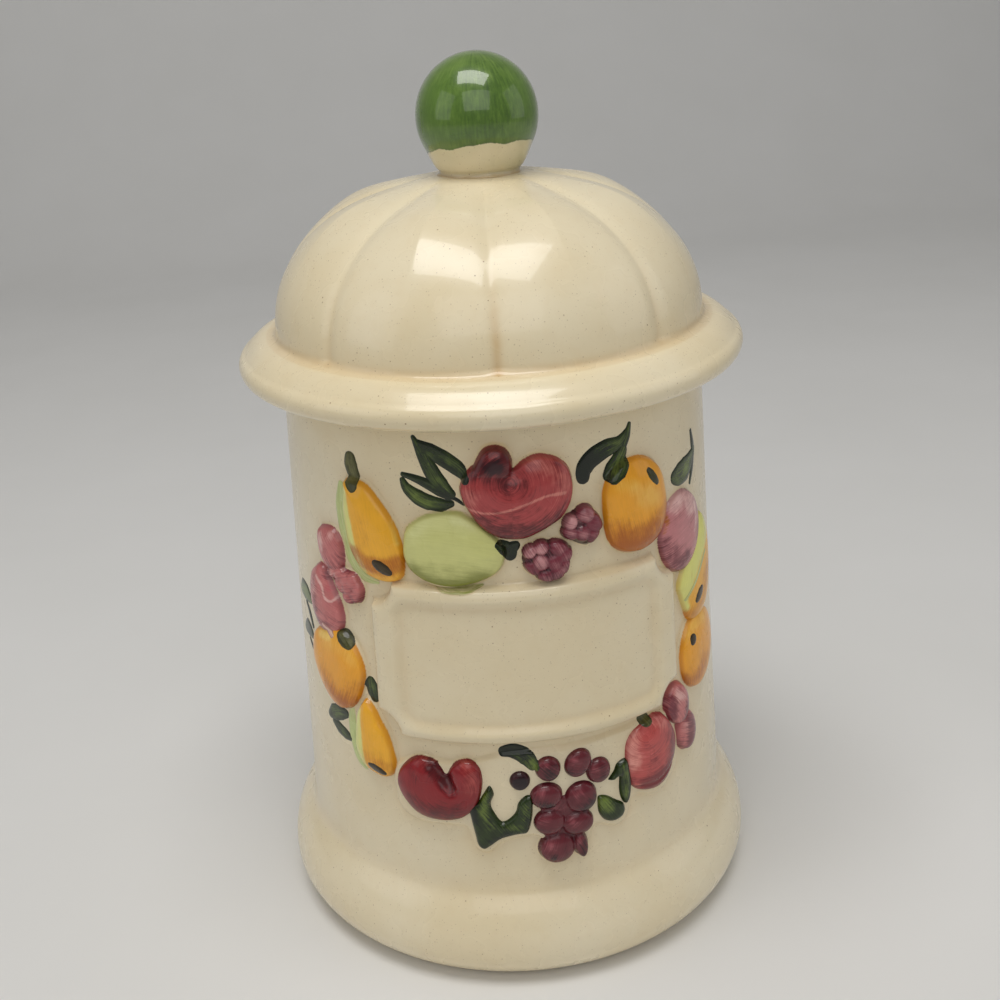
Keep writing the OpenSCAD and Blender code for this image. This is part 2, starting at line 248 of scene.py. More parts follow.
# %% Places on the wall
# Size in millimetres, waves round the pot, and how far they drift for each millimetre upwards.
UNROUND = ((0.10, 2, 0.02), (0.06, 3, -0.05))


def unround(angle, z):
    """The slow unroundness of a cast pot, a tenth of a millimetre or so."""
    return sum(size * np.sin(waves * angle + z * drift) for size, waves, drift in UNROUND)


def wobble(r, z, a):
    """The same unroundness for a lathe form, except at its very middle."""
    return r + unround(a, z) * (r > 5), z


def on_wall(x, z, height):
    """Points on the wall, from places x and z and heights above its surface, all in mm."""
    angle = x / WRAP_R
    r = wall_r(z) + unround(angle, z) + height
    return np.stack([r * np.sin(angle), -r * np.cos(angle), z], -1)


print("the plaque's middle lies at", on_wall(np.zeros(1), np.full(1, PLAQUE_Z), 0)[0].round(1))

# %% [markdown]
# ## The glazes
# Two effects are used again and again, so each is a node group with named sockets: the cream
# glaze, with its tan toning, its brown specks and the faint ripple of a fired surface, and
# brushed colour, with streaks along the stroke. The shader itself stays in each material, where
# its gloss is set once for the whole piece.

# %% Node helpers
def colour(r, g, b):
    """A colour as it is seen, 0 to 255, turned into the linear values that nodes use."""
    def linear(c):
        return c / 255 / 12.92 if c <= 10 else ((c / 255 + 0.055) / 1.055) ** 2.4

    return linear(r), linear(g), linear(b), 1.0


def add_node(tree, kind, inputs=(), **settings):
    """A node with its settings; inputs maps a socket's name or number to a value or a link."""
    node = tree.nodes.new(kind)
    for key, value in settings.items():
        setattr(node, key, value)
    for key, value in dict(inputs).items():
        socket = node.inputs[key]
        if isinstance(value, bpy.types.NodeSocket):
            tree.links.new(value, socket)
        else:
            socket.default_value = value
    return node


def maths(tree, operation, a, b, clamp=False):
    """A sum, a difference, a product or a comparison of two values."""
    settings = {"operation": operation, "use_clamp": clamp}
    return add_node(tree, "ShaderNodeMath", {0: a, 1: b}, **settings).outputs[0]


def blend_colour(tree, amount, a, b):
    """Colour a where the amount is 0, b where it is 1."""
    return add_node(tree, "ShaderNodeMix", {0: amount, 6: a, 7: b}, data_type="RGBA").outputs[2]


def step_up(tree, value, low, high):
    """A soft step from 0 at low to 1 at high."""
    ends = {0: value, 1: low, 2: high, 3: 0.0, 4: 1.0}
    return add_node(tree, "ShaderNodeMapRange", ends, interpolation_type="SMOOTHSTEP").outputs[0]


def noise(tree, vector, scale, detail=2.0, rough=0.5):
    """A cloudy value about one half, with scale waves to one unit of the vector."""
    inputs = {"Vector": vector, "Scale": scale, "Detail": detail, "Roughness": rough}
    return add_node(tree, "ShaderNodeTexNoise", inputs).outputs[0]


def number(tree, name):
    """A painting number that the mesh carries."""
    return add_node(tree, "ShaderNodeAttribute", attribute_name=name).outputs["Fac"]


def place_in(tree):
    """The place of each point on the object, in metres."""
    return add_node(tree, "ShaderNodeTexCoord").outputs["Object"]


print("cream in linear values:", [round(v, 3) for v in colour(232, 219, 188)])

# %% Node groups
def group(name, inputs, outputs):
    """An empty node group with named sockets, and its input and output nodes."""
    tree = bpy.data.node_groups.new(name, "ShaderNodeTree")
    for socket, kind, value in inputs:
        made = tree.interface.new_socket(name=socket, in_out="INPUT", socket_type=kind)
        if value is not None:
            made.default_value = value
    for socket, kind in outputs:
        tree.interface.new_socket(name=socket, in_out="OUTPUT", socket_type=kind)
    return tree, tree.nodes.new("NodeGroupInput"), tree.nodes.new("NodeGroupOutput")


COLOR_AND_HEIGHT = [("Color", "NodeSocketColor"), ("Height", "NodeSocketFloat")]
print("each group puts out:", [name for name, _ in COLOR_AND_HEIGHT])

# %% [markdown]
# The cream glaze is warm and slightly mottled. Iron in the clay comes through as small brown
# specks, most of them a third of a millimetre across, and a tan wash that was wiped off the
# high places stays in the hollows. Thresholded noise would give specks of all sizes. Here they are
# cells of a Voronoi texture of which only some are shown, so they keep their size and look strewn.

# %% Cream glaze group
CLOUD, FINE_CLOUD, RIPPLE = 22.0, 240.0, 130.0  # waves to a metre
# Cells to a metre, size in a cell, share of cells left bare, and strength of each kind of speck.
SPECKS = ((1300.0, 0.30, 0.74, 0.5), (640.0, 0.19, 0.82, 0.75), (330.0, 0.12, 0.88, 0.9))

tree, given, out = group("cream_glaze", [
    ("Cream", "NodeSocketColor", colour(234, 218, 181)),
    ("Tan", "NodeSocketColor", colour(204, 168, 112)),
    ("Speck", "NodeSocketColor", colour(142, 106, 66)),
    ("Toning", "NodeSocketFloat", 0.0),
], COLOR_AND_HEIGHT)
place = place_in(tree)
cloud, fine_cloud = noise(tree, place, CLOUD, 3.0), noise(tree, place, FINE_CLOUD, 3.0)
warmer = step_up(tree, cloud, 0.35, 0.7)
cream = blend_colour(tree, warmer, given.outputs["Cream"], colour(239, 226, 194))
mottled = maths(tree, "MULTIPLY", step_up(tree, fine_cloud, 0.48, 0.72), 0.05)
cream = blend_colour(tree, mottled, cream, given.outputs["Tan"])
thickness = maths(tree, "ADD", maths(tree, "MULTIPLY", fine_cloud, 0.5), 0.7)
pooled = maths(tree, "MULTIPLY", given.outputs["Toning"], thickness, clamp=True)
cream = blend_colour(tree, pooled, cream, given.outputs["Tan"])
for cells, size, bare, strength in SPECKS:
    cell = add_node(tree, "ShaderNodeTexVoronoi", {"Vector": place, "Scale": cells})
    pick = add_node(tree, "ShaderNodeSeparateColor", {0: cell.outputs["Color"]})
    shown = maths(tree, "GREATER_THAN", pick.outputs[0], bare)
    away = step_up(tree, cell.outputs["Distance"], size * 0.4, size)
    dot = maths(tree, "MULTIPLY", maths(tree, "SUBTRACT", 1.0, away), shown)
    depth = maths(tree, "MULTIPLY", pick.outputs[1], strength)
    cream = blend_colour(tree, maths(tree, "MULTIPLY", dot, depth), cream, given.outputs["Speck"])
tree.links.new(noise(tree, place, RIPPLE, 2.0), out.inputs["Height"])
tree.links.new(cream, out.inputs["Color"])
CREAM_GROUP = tree
print("cream glaze group:", len(tree.nodes), "nodes")

# %% [markdown]
# Brushed colour lies in streaks along the stroke, thin in the middle and dark where the brush
# lifted or the colour ran to the rim. Each painted mesh carries a vector, "stroke", in
# millimetres across and along the brush's path, and numbers for where it is dark, light or
# another colour. Noise that is stretched along the stroke breaks their edges up like bristles,
# and a blotchy noise on top lets the thin colour pool here and there, as wet colour does.

# %% Helpers for brushed colour
def along_stroke(tree, path, across, along):
    """The stroke's own places, so many waves to a millimetre across and along it."""
    scales = {0: path, 1: (across, along, 7.0)}
    return add_node(tree, "ShaderNodeVectorMath", scales, operation="MULTIPLY").outputs[0]


def weighed(tree, *pairs):
    """The sum of values, each times its weight."""
    total = 0.0
    for value, weight in pairs:
        total = maths(tree, "ADD", total, maths(tree, "MULTIPLY", value, weight))
    return total


def broken_up(tree, name, grain, ragged, low, high):
    """A soft step of a painting number, whose edge the grain breaks up."""
    return step_up(tree, weighed(tree, (number(tree, name), 1.0), (grain, ragged)), low, high)


print("a stroke's vector: across, along and a seed of its own")

# %% Brushed colour group
BLOTCH = 250.0  # waves to a metre

tree, given, out = group("brushed_colour", [
    ("Base", "NodeSocketColor", None), ("Dark", "NodeSocketColor", None),
    ("Light", "NodeSocketColor", None), ("Accent", "NodeSocketColor", None),
    ("Streaks", "NodeSocketFloat", 1.0),
], COLOR_AND_HEIGHT)
path = add_node(tree, "ShaderNodeAttribute", attribute_name="stroke").outputs["Vector"]
place = place_in(tree)
bristles = noise(tree, along_stroke(tree, path, 2.3, 0.12), 1.0, 4.0, 0.65)
load = noise(tree, along_stroke(tree, path, 0.4, 0.07), 1.0, 2.0)
blotch = noise(tree, place, BLOTCH, 4.0, 0.6)
mixed = weighed(tree, (bristles, 0.5), (load, 0.16), (blotch, 0.34))
grain = maths(tree, "MULTIPLY", maths(tree, "SUBTRACT", mixed, 0.5), given.outputs["Streaks"])
darkness = maths(tree, "MULTIPLY", broken_up(tree, "dark", grain, 2.6, 0.05, 0.95), 0.92)
lightness = maths(tree, "MULTIPLY", broken_up(tree, "light", grain, -1.7, 0.12, 0.95), 0.9)
at_rim = maths(tree, "SUBTRACT", 1.0, broken_up(tree, "rim", grain, 1.6, 0.05, 0.8))
rim = maths(tree, "MULTIPLY", at_rim, 0.42)
accent = broken_up(tree, "accent", grain, 0.9, 0.35, 0.65)
painted = given.outputs["Base"]
for amount, tint in ((lightness, "Light"), (darkness, "Dark"), (rim, "Dark"), (accent, "Accent")):
    painted = blend_colour(tree, amount, painted, given.outputs[tint])
strength = maths(tree, "ADD", 1.0, maths(tree, "MULTIPLY", grain, -0.7))
shaded = add_node(tree, "ShaderNodeHueSaturation", {"Value": strength, "Color": painted})
tree.links.new(shaded.outputs[0], out.inputs["Color"])
tree.links.new(bristles, out.inputs["Height"])
BRUSH_GROUP = tree
print("brushed colour group:", len(tree.nodes), "nodes")

# %% [markdown]
# A glazed material is one Principled shader: cream or brushed colour as its base, low
# roughness, and a clear coat for the glassy skin. Mixing two shaders would do for painted and
# bare places, but mixing their colours before one shader is simpler to bake. The roughness
# changes a little over the surface, because a fired glaze is never equally glossy.

# %% Glazed materials
GLOSSY, DULLER, RIPPLE_DEPTH, BRISTLE_DEPTH = 0.22, 0.34, 0.0005, 0.3


def brushed_over(tree, colours, streaks, skin, height):
    """Brushed colour over the cream skin, where the number 'paint' says, and its height."""
    brushed = add_node(tree, "ShaderNodeGroup", node_tree=BRUSH_GROUP)
    for socket, value in zip(("Base", "Dark", "Light", "Accent"), colours):
        brushed.inputs[socket].default_value = colour(*value)
    brushed.inputs["Streaks"].default_value = streaks
    bristles = brushed.outputs["Height"]
    ragged = maths(tree, "MULTIPLY", maths(tree, "SUBTRACT", bristles, 0.5), 0.6)
    cover = step_up(tree, maths(tree, "ADD", number(tree, "paint"), ragged), 0.36, 0.64)
    ridges = maths(tree, "MULTIPLY", maths(tree, "MULTIPLY", bristles, cover), BRISTLE_DEPTH)
    height = maths(tree, "ADD", height, ridges)
    return blend_colour(tree, cover, skin, brushed.outputs["Color"]), height


def glaze(name, *colours, streaks=1.0, cream=None, coat=0.4):
    """A glazed material: cream alone, or with a base, a dark, a light and an accent brushed on."""
    material = bpy.data.materials.new(name)
    material.use_nodes = True
    tree = material.node_tree
    tree.nodes.clear()
    shader = add_node(tree, "ShaderNodeBsdfPrincipled", {
        "IOR": 1.5, "Coat Weight": coat, "Coat Roughness": 0.04,
        "Specular IOR Level": 0.3 if colours else 0.5,
    })
    ground = add_node(tree, "ShaderNodeGroup", {}, node_tree=CREAM_GROUP)
    if cream:
        ground.inputs["Cream"].default_value = colour(*cream)
    tree.links.new(number(tree, "toning"), ground.inputs["Toning"])
    skin, height = ground.outputs["Color"], ground.outputs["Height"]
    if colours:
        skin, height = brushed_over(tree, colours, streaks, skin, height)
    uneven = {0: noise(tree, place_in(tree), 60.0, 3.0), 1: 0.3, 2: 0.7, 3: GLOSSY, 4: DULLER}
    gloss = add_node(tree, "ShaderNodeMapRange", uneven)
    bump = add_node(tree, "ShaderNodeBump", {
        "Strength": 0.12, "Distance": RIPPLE_DEPTH, "Height": height,
    })
    tree.links.new(gloss.outputs[0], shader.inputs["Roughness"])
    tree.links.new(skin, shader.inputs["Base Color"])
    tree.links.new(bump.outputs[0], shader.inputs["Normal"])
    add_node(tree, "ShaderNodeOutputMaterial", {0: shader.outputs[0]})
    return material


CREAM = glaze("cream")
print("glazes so far:", CREAM.name)

# %% [markdown]
# The painter's palette is short: three reds, a lime, two yellows, two plum pinks, two near-blacks
# for the small fruit, and greens and browns for leaves and stems. Each glaze has four colours:
# its own, where it lies thick and dark, where it is thin and light, and a second colour that is
# dabbed into it. On some fruit the dark and light ones also stand for painted shade and painted
# highlights. Streaks says how much the bristles show.

# %% The palette
RED = glaze("apple_red", (174, 68, 68), (84, 20, 26), (212, 130, 118), (52, 14, 22), streaks=1.4)
WINE = glaze("apple_wine", (138, 31, 36), (74, 12, 18), (194, 92, 84), (82, 20, 26), streaks=1.2)
ROSE = glaze(
    "apple_rose", (190, 84, 80), (118, 30, 38), (234, 164, 150), (96, 92, 48), streaks=1.4)
LIME = glaze(
    "lime_green", (212, 212, 136), (136, 140, 58), (222, 222, 158), (120, 128, 40), streaks=0.5)
PEAR = glaze(
    "pear_yellow", (246, 180, 50), (188, 104, 16), (230, 234, 140), (62, 46, 20), streaks=0.7)
ORANGE = glaze(
    "orange", (246, 170, 44), (176, 90, 14), (252, 212, 112), (64, 60, 28), streaks=0.65)
PLUM = glaze("plum", (198, 116, 114), (112, 40, 54), (234, 186, 178), (200, 92, 104), streaks=1.4)
MAUVE = glaze(
    "mauve_plum", (202, 130, 132), (116, 48, 58), (242, 204, 196), (190, 112, 48), streaks=1.3)
GRAPE = glaze("grape", (102, 36, 44), (42, 10, 18), (166, 92, 98), (28, 8, 14), streaks=1.5)
BERRY = glaze("bramble", (126, 54, 66), (38, 8, 18), (220, 160, 160), (28, 8, 14), streaks=1.1)
LEAF = glaze("leaf_green", (38, 54, 14), (12, 20, 6), (112, 130, 52), (12, 20, 8), streaks=1.5)
STEM = glaze("stem_olive", (78, 78, 34), (36, 36, 14), (132, 130, 74), (40, 32, 12), streaks=1.3)
CALYX = glaze("calyx_brown", (58, 44, 14), (24, 18, 6), (98, 76, 32), (30, 22, 8), streaks=1.2)
WASH = glaze(
    "green_wash", (200, 212, 140), (168, 180, 98), (220, 224, 166), (170, 176, 96), streaks=0.9)
print("materials, the clay's own among them:", len(bpy.data.materials))

# %% [markdown]
# ## The jar
# The jar's round is one lathe outline: a resting ring round a shallow recess, a heavy rolled
# foot, the leaning wall and the rim, then down the inside to the floor. It stands for the
# node "jar_body", so its outline repeats that node's, with the edges softened as glaze does. A
# Bevel modifier rounds all edges by one width, while glaze fills the angle over the foot more.
# The foot is two arcs, a tight one below and a slow one above that ends where it meets the wall.

# %% The jar's outline
FOOT_LOW, FOOT_TOP, FLOOR_Z, RECESS = 13.0, 28.0, 9.0, 3.0
RECESS_R, REST_R, LIP = 65.0, 68.4, 1.6
SOFT_REACH, SOFT_PASSES, SOFT_FADE = 9, 45, 4
INSIDE_FOOT = [(75.2, 34.0), (76.6, 24.0), (75.0, 15.0), (70.0, FLOOR_Z + 0.8), (62.0, FLOOR_Z)]

lean = (WALL_RIM_R - WALL_BASE_R) / RIM_Z
reach, slant = wall_r(FOOT_LOW) - (FOOT_R - FOOT_TOP), 1 + lean**2
rise = (math.sqrt(FOOT_TOP**2 * slant - reach**2) - reach * lean) / slant / FOOT_TOP
roll_end = math.degrees(math.asin(rise))
FOOT_TOP_Z = FOOT_LOW + FOOT_TOP * math.sin(math.radians(roll_end))

outline = [(0.0, RECESS), (RECESS_R, RECESS)]
outline += arc(RECESS_R, 1.6, 1.4, 90, 0, 4) + arc(REST_R, 1.0, 1.0, 180, 270, 4)
outline += arc(FOOT_R - FOOT_LOW, FOOT_LOW, FOOT_LOW, -90, 0, 24)
outline += arc(FOOT_R - FOOT_TOP, FOOT_LOW, FOOT_TOP, 2, roll_end, 28)
outline += [(wall_r(FOOT_TOP_Z + 6), FOOT_TOP_Z + 6)]
outline += arc(WALL_RIM_R - LIP, RIM_Z - LIP, LIP, 0, 90, 6)
outline += arc(MOUTH_R + LIP, RIM_Z - LIP, LIP, 90, 180, 6)
outline += INSIDE_FOOT + [(0.0, FLOOR_Z)]
jar_outline = resample(outline, 0.8)

soft_from, soft_to = FOOT_TOP_Z - SOFT_REACH, FOOT_TOP_Z + SOFT_REACH
share = smooth(soft_from - SOFT_FADE, soft_from, jar_outline[:, 1])
share = share * (1 - smooth(soft_to, soft_to + SOFT_FADE, jar_outline[:, 1]))
share = share * (jar_outline[:, 0] > wall_r(jar_outline[:, 1]) - 1)
ease(jar_outline, share, SOFT_PASSES)
print("jar outline:", len(jar_outline), "points; foot roll up to", round(FOOT_TOP_Z, 1), "mm")

# %% [markdown]
# ## The wreath's outlines
# Each fruit is drawn on the wrapped wall in millimetres: x from the plaque's middle, z from the
# table. They are kept in one table, by the names of the pieces that they stand for. Each has
# only the points that its shape needs, and the fruit above the plaque comes first.

# %% Outlines above the plaque
SHAPES = {}
SHAPES["top_apple"] = [
    (-0.1, 187.5), (-3, 185.4), (-5.5, 186.6), (-10, 187.8), (-14.6, 187.3), (-18, 184.2),
    (-19.9, 179.6), (-19.1, 175.3), (-17.3, 171.7), (-14.8, 167.7), (-11.2, 164.4), (-6.9, 162.6),
    (-1, 162.1), (3.7, 163.5), (8.1, 165.5), (11.8, 167.8), (14.7, 172), (15.9, 176.3),
    (15.7, 180.2), (14.5, 184), (11.8, 186.9), (8, 188.6), (4, 189.1)
]
SHAPES["apple_lobe"] = [
    (-13.8, 189.4), (-11.6, 192.2), (-8.2, 193.1), (-5, 192), (-3.2, 189.2), (-2.9, 186),
    (-4, 182.8), (-8.4, 181.2), (-13, 181.4), (-17, 183.2), (-15.4, 186.4)
]
SHAPES["lime"] = [
    (-39.7, 159.5), (-38.7, 164.9), (-35.6, 168.3), (-31.1, 170.8), (-25.5, 172.1), (-19.9, 171.9),
    (-15.5, 169.2), (-11.9, 166.1), (-8.9, 163.1), (-6.9, 160), (-6.7, 156.9), (-8.2, 153.2),
    (-10.9, 150.7), (-14.7, 148.9), (-19.7, 147.4), (-25, 146.7), (-29.9, 147.3), (-34.7, 149.5),
    (-38, 152.4), (-39.5, 156.1)
]
SHAPES["upper_pear"] = [
    (-57, 179.3), (-60.9, 178.5), (-61.4, 174.4), (-62.1, 169), (-61.5, 162.2), (-60.5, 156.7),
    (-58, 151.7), (-54.8, 148.3), (-49.9, 146.5), (-44.7, 146.3), (-40.5, 148.4), (-39.2, 154),
    (-40.3, 162.1), (-43.1, 168.6), (-47.2, 174), (-51.7, 178.3)
]
SHAPES["top_orange"] = [
    (25.5, 171.5), (25.6, 166.5), (25.8, 161), (26.8, 156.7), (29, 153.6), (32.2, 151.4),
    (36.1, 150.2), (40, 150), (43.8, 150.9), (47.4, 152.8), (49.8, 155.6), (51.3, 159.4),
    (51.9, 164.2), (51.4, 169.2), (50.3, 173.7), (47.7, 177.8), (43.6, 180.7), (38.5, 182),
    (33.5, 181.2), (29.2, 178.9), (26.6, 175.6)
]
SHAPES["mauve_plum"] = oval(60.5, 149.4, 25.6, 28.8, 6)
print("above the plaque:", len(SHAPES), "outlines")

# %% Outlines at the sides and below
SHAPES["left_orange"] = [
    (-80.4, 121), (-75, 123.2), (-70, 124.2), (-64, 122.1), (-59.9, 116.4), (-58.2, 111),
    (-59.2, 106), (-61.6, 100), (-65.4, 95.2), (-70.5, 92.8), (-76, 93.8), (-81, 97.6),
    (-85.2, 103), (-87.2, 109), (-86.2, 115.4), (-83.8, 119)
]
SHAPES["right_orange"] = oval(69.3, 102.6, 25.5, 30.0, -6)
SHAPES["right_pear"] = [
    (56.6, 131), (57.6, 126), (59.6, 121), (61.4, 116.8), (65, 114.2), (70, 113.6), (75.4, 115.4),
    (79.4, 119.6), (81.6, 126), (82.4, 134), (81.4, 142), (78.8, 148), (75, 151.2), (71, 150),
    (66.6, 145), (61, 138.4)
]
SHAPES["lower_pear"] = [
    (-58.6, 101.1), (-61.2, 98.4), (-63, 94.8), (-64.1, 88.7), (-64.6, 82), (-63.1, 77.7),
    (-60.9, 75), (-56, 73.3), (-50.9, 73.4), (-48, 77.4), (-48.3, 83.6), (-50.4, 90.5),
    (-52.9, 94.7), (-55.4, 99.1)
]
SHAPES["bottom_apple"] = [
    (-30, 79.9), (-31.2, 81.8), (-33.2, 84.2), (-36.6, 85), (-40, 84.7), (-44.2, 81.6),
    (-46.9, 77.8), (-47.8, 74), (-46.9, 70.2), (-44.7, 66.6), (-41.4, 63.3), (-37.6, 61.7),
    (-33, 61.3), (-28.5, 61.9), (-24.4, 63.6), (-21, 67.2), (-19, 71.6), (-18, 77.5),
    (-18.5, 82.3), (-20.4, 85), (-23.2, 85.9), (-26.2, 84.8), (-28.6, 82.4)
]
SHAPES["right_apple"] = [
    (38.5, 89.2), (35.2, 88.4), (31.8, 86.7), (29.5, 83.4), (28.8, 79), (29, 73), (30.2, 67.4),
    (33, 63.8), (37.2, 61.8), (41.6, 61.2), (45.4, 62.6), (48.2, 65.8), (50.2, 70), (51.2, 74.6),
    (51, 79), (49.8, 82.4), (48, 85.6), (45.8, 88.2), (43.2, 89.7), (40.8, 90)
]
print("fruit:", len(SHAPES), "outlines")

# %% [markdown]
# Small fruit stands in clusters: two brambles over the plaque, three plums at the left, two at
# the right and a bunch of grapes below. A grape is an oval, given by its middle, its width, its
# height and its turn. A low form fills the gaps between the grapes, as the clay does.

# %% Outlines of plums, brambles and grapes
SHAPES["berry_1"] = [
    (-2.2, 155), (-0.8, 159.2), (3.7, 161.4), (8.1, 161.2), (11.7, 159.7), (14.7, 157.4),
    (13.5, 153.7), (12.5, 150.5), (11, 148.3), (7.5, 147.4), (3.5, 148.3), (0.5, 150.7)
]
SHAPES["berry_2"] = [
    (10.9, 162.5), (11.7, 165.9), (14.4, 169.1), (18.7, 170.6), (21.9, 169.4), (24.2, 166.3),
    (25.6, 162.5), (24.4, 160.6), (22.2, 158.7), (20.5, 156.5), (17.9, 156.8), (14.1, 159.1)
]
SHAPES["plum_a"] = [
    (-75, 159.3), (-69, 160), (-65, 156.5), (-64.2, 150), (-65.6, 145.8), (-69.5, 144.2),
    (-73.5, 145.2), (-76.6, 149.2), (-77.6, 154), (-77, 157.6)
]
SHAPES["plum_b"] = [
    (-80.6, 143.6), (-77.4, 145), (-74, 143), (-70.6, 138.4), (-67.4, 132.5), (-66.6, 127.5),
    (-68.4, 123), (-73.2, 120), (-78.6, 119.8), (-83, 123.2), (-85.4, 129), (-85.6, 135),
    (-83.6, 140.6)
]
SHAPES["plum_c"] = [
    (-75.4, 144.4), (-71.5, 146.2), (-67, 147.3), (-63, 147), (-59, 146.3), (-56.3, 142),
    (-56.4, 138.6), (-58.6, 135.4), (-62.3, 135), (-66.5, 137.2), (-70.6, 140.6)
]
SHAPES["plum_d"] = oval(53.2, 88.4, 12.4, 17.0, 15)
SHAPES["plum_e"] = oval(58.3, 75.4, 11.8, 16.4, 10)
GRAPES = [
    (2.6, 81.1, 8.8, 9.8, 8), (12.4, 81.4, 9.4, 11.2, -25), (19.2, 76.8, 9.0, 10.0, 0),
    (1.6, 71.1, 11, 10.2, 0), (12.8, 68.4, 11.4, 12.2, 0), (2.2, 61.1, 10.8, 10.6, 0),
    (11.3, 59, 11.2, 9.8, 0), (4.3, 50.6, 12.4, 12.4, 10), (11.8, 50.6, 5.4, 10.4, 6),
    (-6.5, 77.6, 7.2, 7.8, 0)
]
BETWEEN_GRAPES = [
    (-2, 70), (-0.6, 64), (-1, 58), (1, 54), (6, 52), (12, 53), (15.5, 58), (16, 64), (16.5, 69),
    (12, 71), (6, 70.5), (2, 72)
]
print("with the small fruit:", len(SHAPES) + len(GRAPES) + 1, "outlines")

# %% [markdown]
# The raised leaves at the bottom were pressed as one piece, and those beside the grapes as two.
# Behind the lower part of the wreath the mould kept a thin pad of clay, and the plaque is a
# rectangle with a scoop out of each corner, which is simple enough to work out.

# %% Outlines of leaves, backing and plaque
LEAVES = {
    "bottom_leaves": [
        [
            (-16.2, 76.4), (-18.6, 73), (-20.5, 70), (-23.6, 69), (-23, 63), (-22, 57),
            (-21.2, 52.8), (-18.9, 51.2), (-16.5, 52.6), (-13, 55.4), (-8.5, 56.8), (-4.8, 57.4),
            (-3.4, 61), (-2.6, 66), (-2.6, 71.4), (-5, 72), (-7.6, 69.4), (-8.6, 66),
            (-10.6, 63.6), (-12.8, 62.6), (-14.6, 65.4), (-15.8, 69), (-14.6, 73)
        ],
    ],
    "grape_leaves": [
        [
            (28.3, 78.2), (25.6, 77), (24.4, 74.6), (22.2, 71.8), (24.4, 70.8), (26.2, 71.4),
            (26, 67), (26.6, 63), (28.4, 60.2), (30.4, 62.6), (31.2, 68), (30.8, 74), (30, 77.4)
        ],
        [
            (18, 64.5), (18.6, 67), (21.6, 66.4), (25, 63.6), (27.6, 61.4), (28.4, 58.8),
            (27, 56.2), (23.8, 55.2), (20.6, 56.4), (18.4, 60)
        ],
    ],
}
BACKING = [
    (-48.8, 68), (-48.4, 65), (-46.3, 61.6), (-42.8, 59.7), (-37.4, 59), (-31.2, 59.4),
    (-25.4, 59.4), (-23.8, 57.6), (-22.8, 54), (-21.4, 50.8), (-17.5, 49.6), (-13.2, 53.4),
    (-7.5, 55.2), (-1.8, 55.2), (2, 50), (14, 50), (17.4, 55.6), (24.8, 52.6), (29.2, 55),
    (30.8, 60.2), (33, 61.4), (37.4, 59.4), (43, 58.2), (48.6, 61), (52.6, 66), (53, 78), (48, 88),
    (30, 89), (10, 88), (-10, 88), (-25, 84), (-40, 84), (-49, 78)
]
SCOOP_R = 8.0


def scooped_plaque():
    """The plaque's outline: a rectangle with a scoop out of each corner."""
    x, z = PLAQUE_W / 2, PLAQUE_H / 2
    line = []
    for sx, sz, first in ((1, 1, 270), (-1, 1, 0), (-1, -1, 90), (1, -1, 180)):
        for turn in np.linspace(first, first - 90, 9):
            across, up = math.cos(math.radians(turn)), math.sin(math.radians(turn))
            line.append((sx * x + SCOOP_R * across, PLAQUE_Z + sz * z + SCOOP_R * up))
    return np.array(line)


PLAQUE_LINE = scooped_plaque()
print("plaque's outline:", len(PLAQUE_LINE), "points")

# %% [markdown]
# ## Soft relief
# A mould gives a fruit a rounded side and a low, full crown, three to five millimetres high, and
# the glaze rounds the angle at its foot. So the height rises over a narrow fillet outside the
# outline, then follows a quarter of an ellipse to the crown. Creases and dimples are pressed into
# it by distance to a line.

# %% Relief heights
FILLET = 0.6


def dome(d, crown, rise):
    """Height over an outline: d is the distance inside it, crown that at which it is full."""
    t = np.clip((d + FILLET) / (crown + FILLET), 0, 1)
    return rise * (1 - (1 - t) ** 2) ** 0.5 * smooth(-FILLET, FILLET * 1.8, d)


def press(height, x, z, line, width, depth):
    """Presses a soft crease along a line into a height."""
    d = distance_to(smooth_curve(line, False), x, z)
    return height - depth * np.exp(-((d / width) ** 2))


print("a 5 mm crown at its middle:", round(float(dome(np.array([10.0]), 8.0, 5.0)[0]), 2), "mm")

# %% [markdown]
# The painting is laid out in the same way: a dab of colour is a line, or a single point, with a
# width, and it fades out softly at its edge. The brush's own path matters too, because its
# streaks follow it: round a dimple in rings, or straight along a fruit with a slight bend.

# %% Dabs and brush paths
def dab(x, z, line, width, soft):
    """How much of a dab lies at each place: 1 on its line, 0 beyond its width."""
    line = np.asarray(line, float)
    if len(line) == 1:
        d = np.hypot(x - line[0, 0], z - line[0, 1])
    else:
        d = distance_to(smooth_curve(line, False), x, z)
    return 1 - smooth(width / 2 - soft, width / 2 + soft, d)


def dabs(x, z, wanted):
    """The sum of dabs, each given as (line, width, softness, strength)."""
    laid = (strength * dab(x, z, line, width, soft) for line, width, soft, strength in wanted)
    return sum(laid, np.zeros(x.shape))


def round_path(x, z, cx, cz):
    """Brush paths that go round a point: across is the radius, along the way round."""
    r = np.hypot(x - cx, z - cz)
    along = np.arctan2(x - cx, z - cz) * np.maximum(r, 3.0)
    return np.stack([r, along, np.full(x.shape, cx * 0.1)], -1)


def straight_path(x, z, turn, bend=0.0, seed=0.0):
    """Brush paths in one direction, turn degrees from upright, that bend with the fruit's side."""
    c, s = math.cos(math.radians(turn)), math.sin(math.radians(turn))
    across, along = x * c + z * s, -x * s + z * c
    bent = across + bend * (along - along.mean()) ** 2
    return np.stack([bent, along, np.full(x.shape, seed)], -1)


def rings(cx, cz):
    """A brush that goes round a point."""
    return lambda x, z: round_path(x, z, cx, cz)


def strokes_at(turn, bend=0.0, seed=0.0):
    """A brush that goes one way."""
    return lambda x, z: straight_path(x, z, turn, bend, seed)


overlap = [([(0, 0)], 2, 1, 0.5), ([(1, 0)], 4, 1, 0.4)]
print("two dabs that overlap:", dabs(*np.zeros((2, 1)), overlap).round(2))

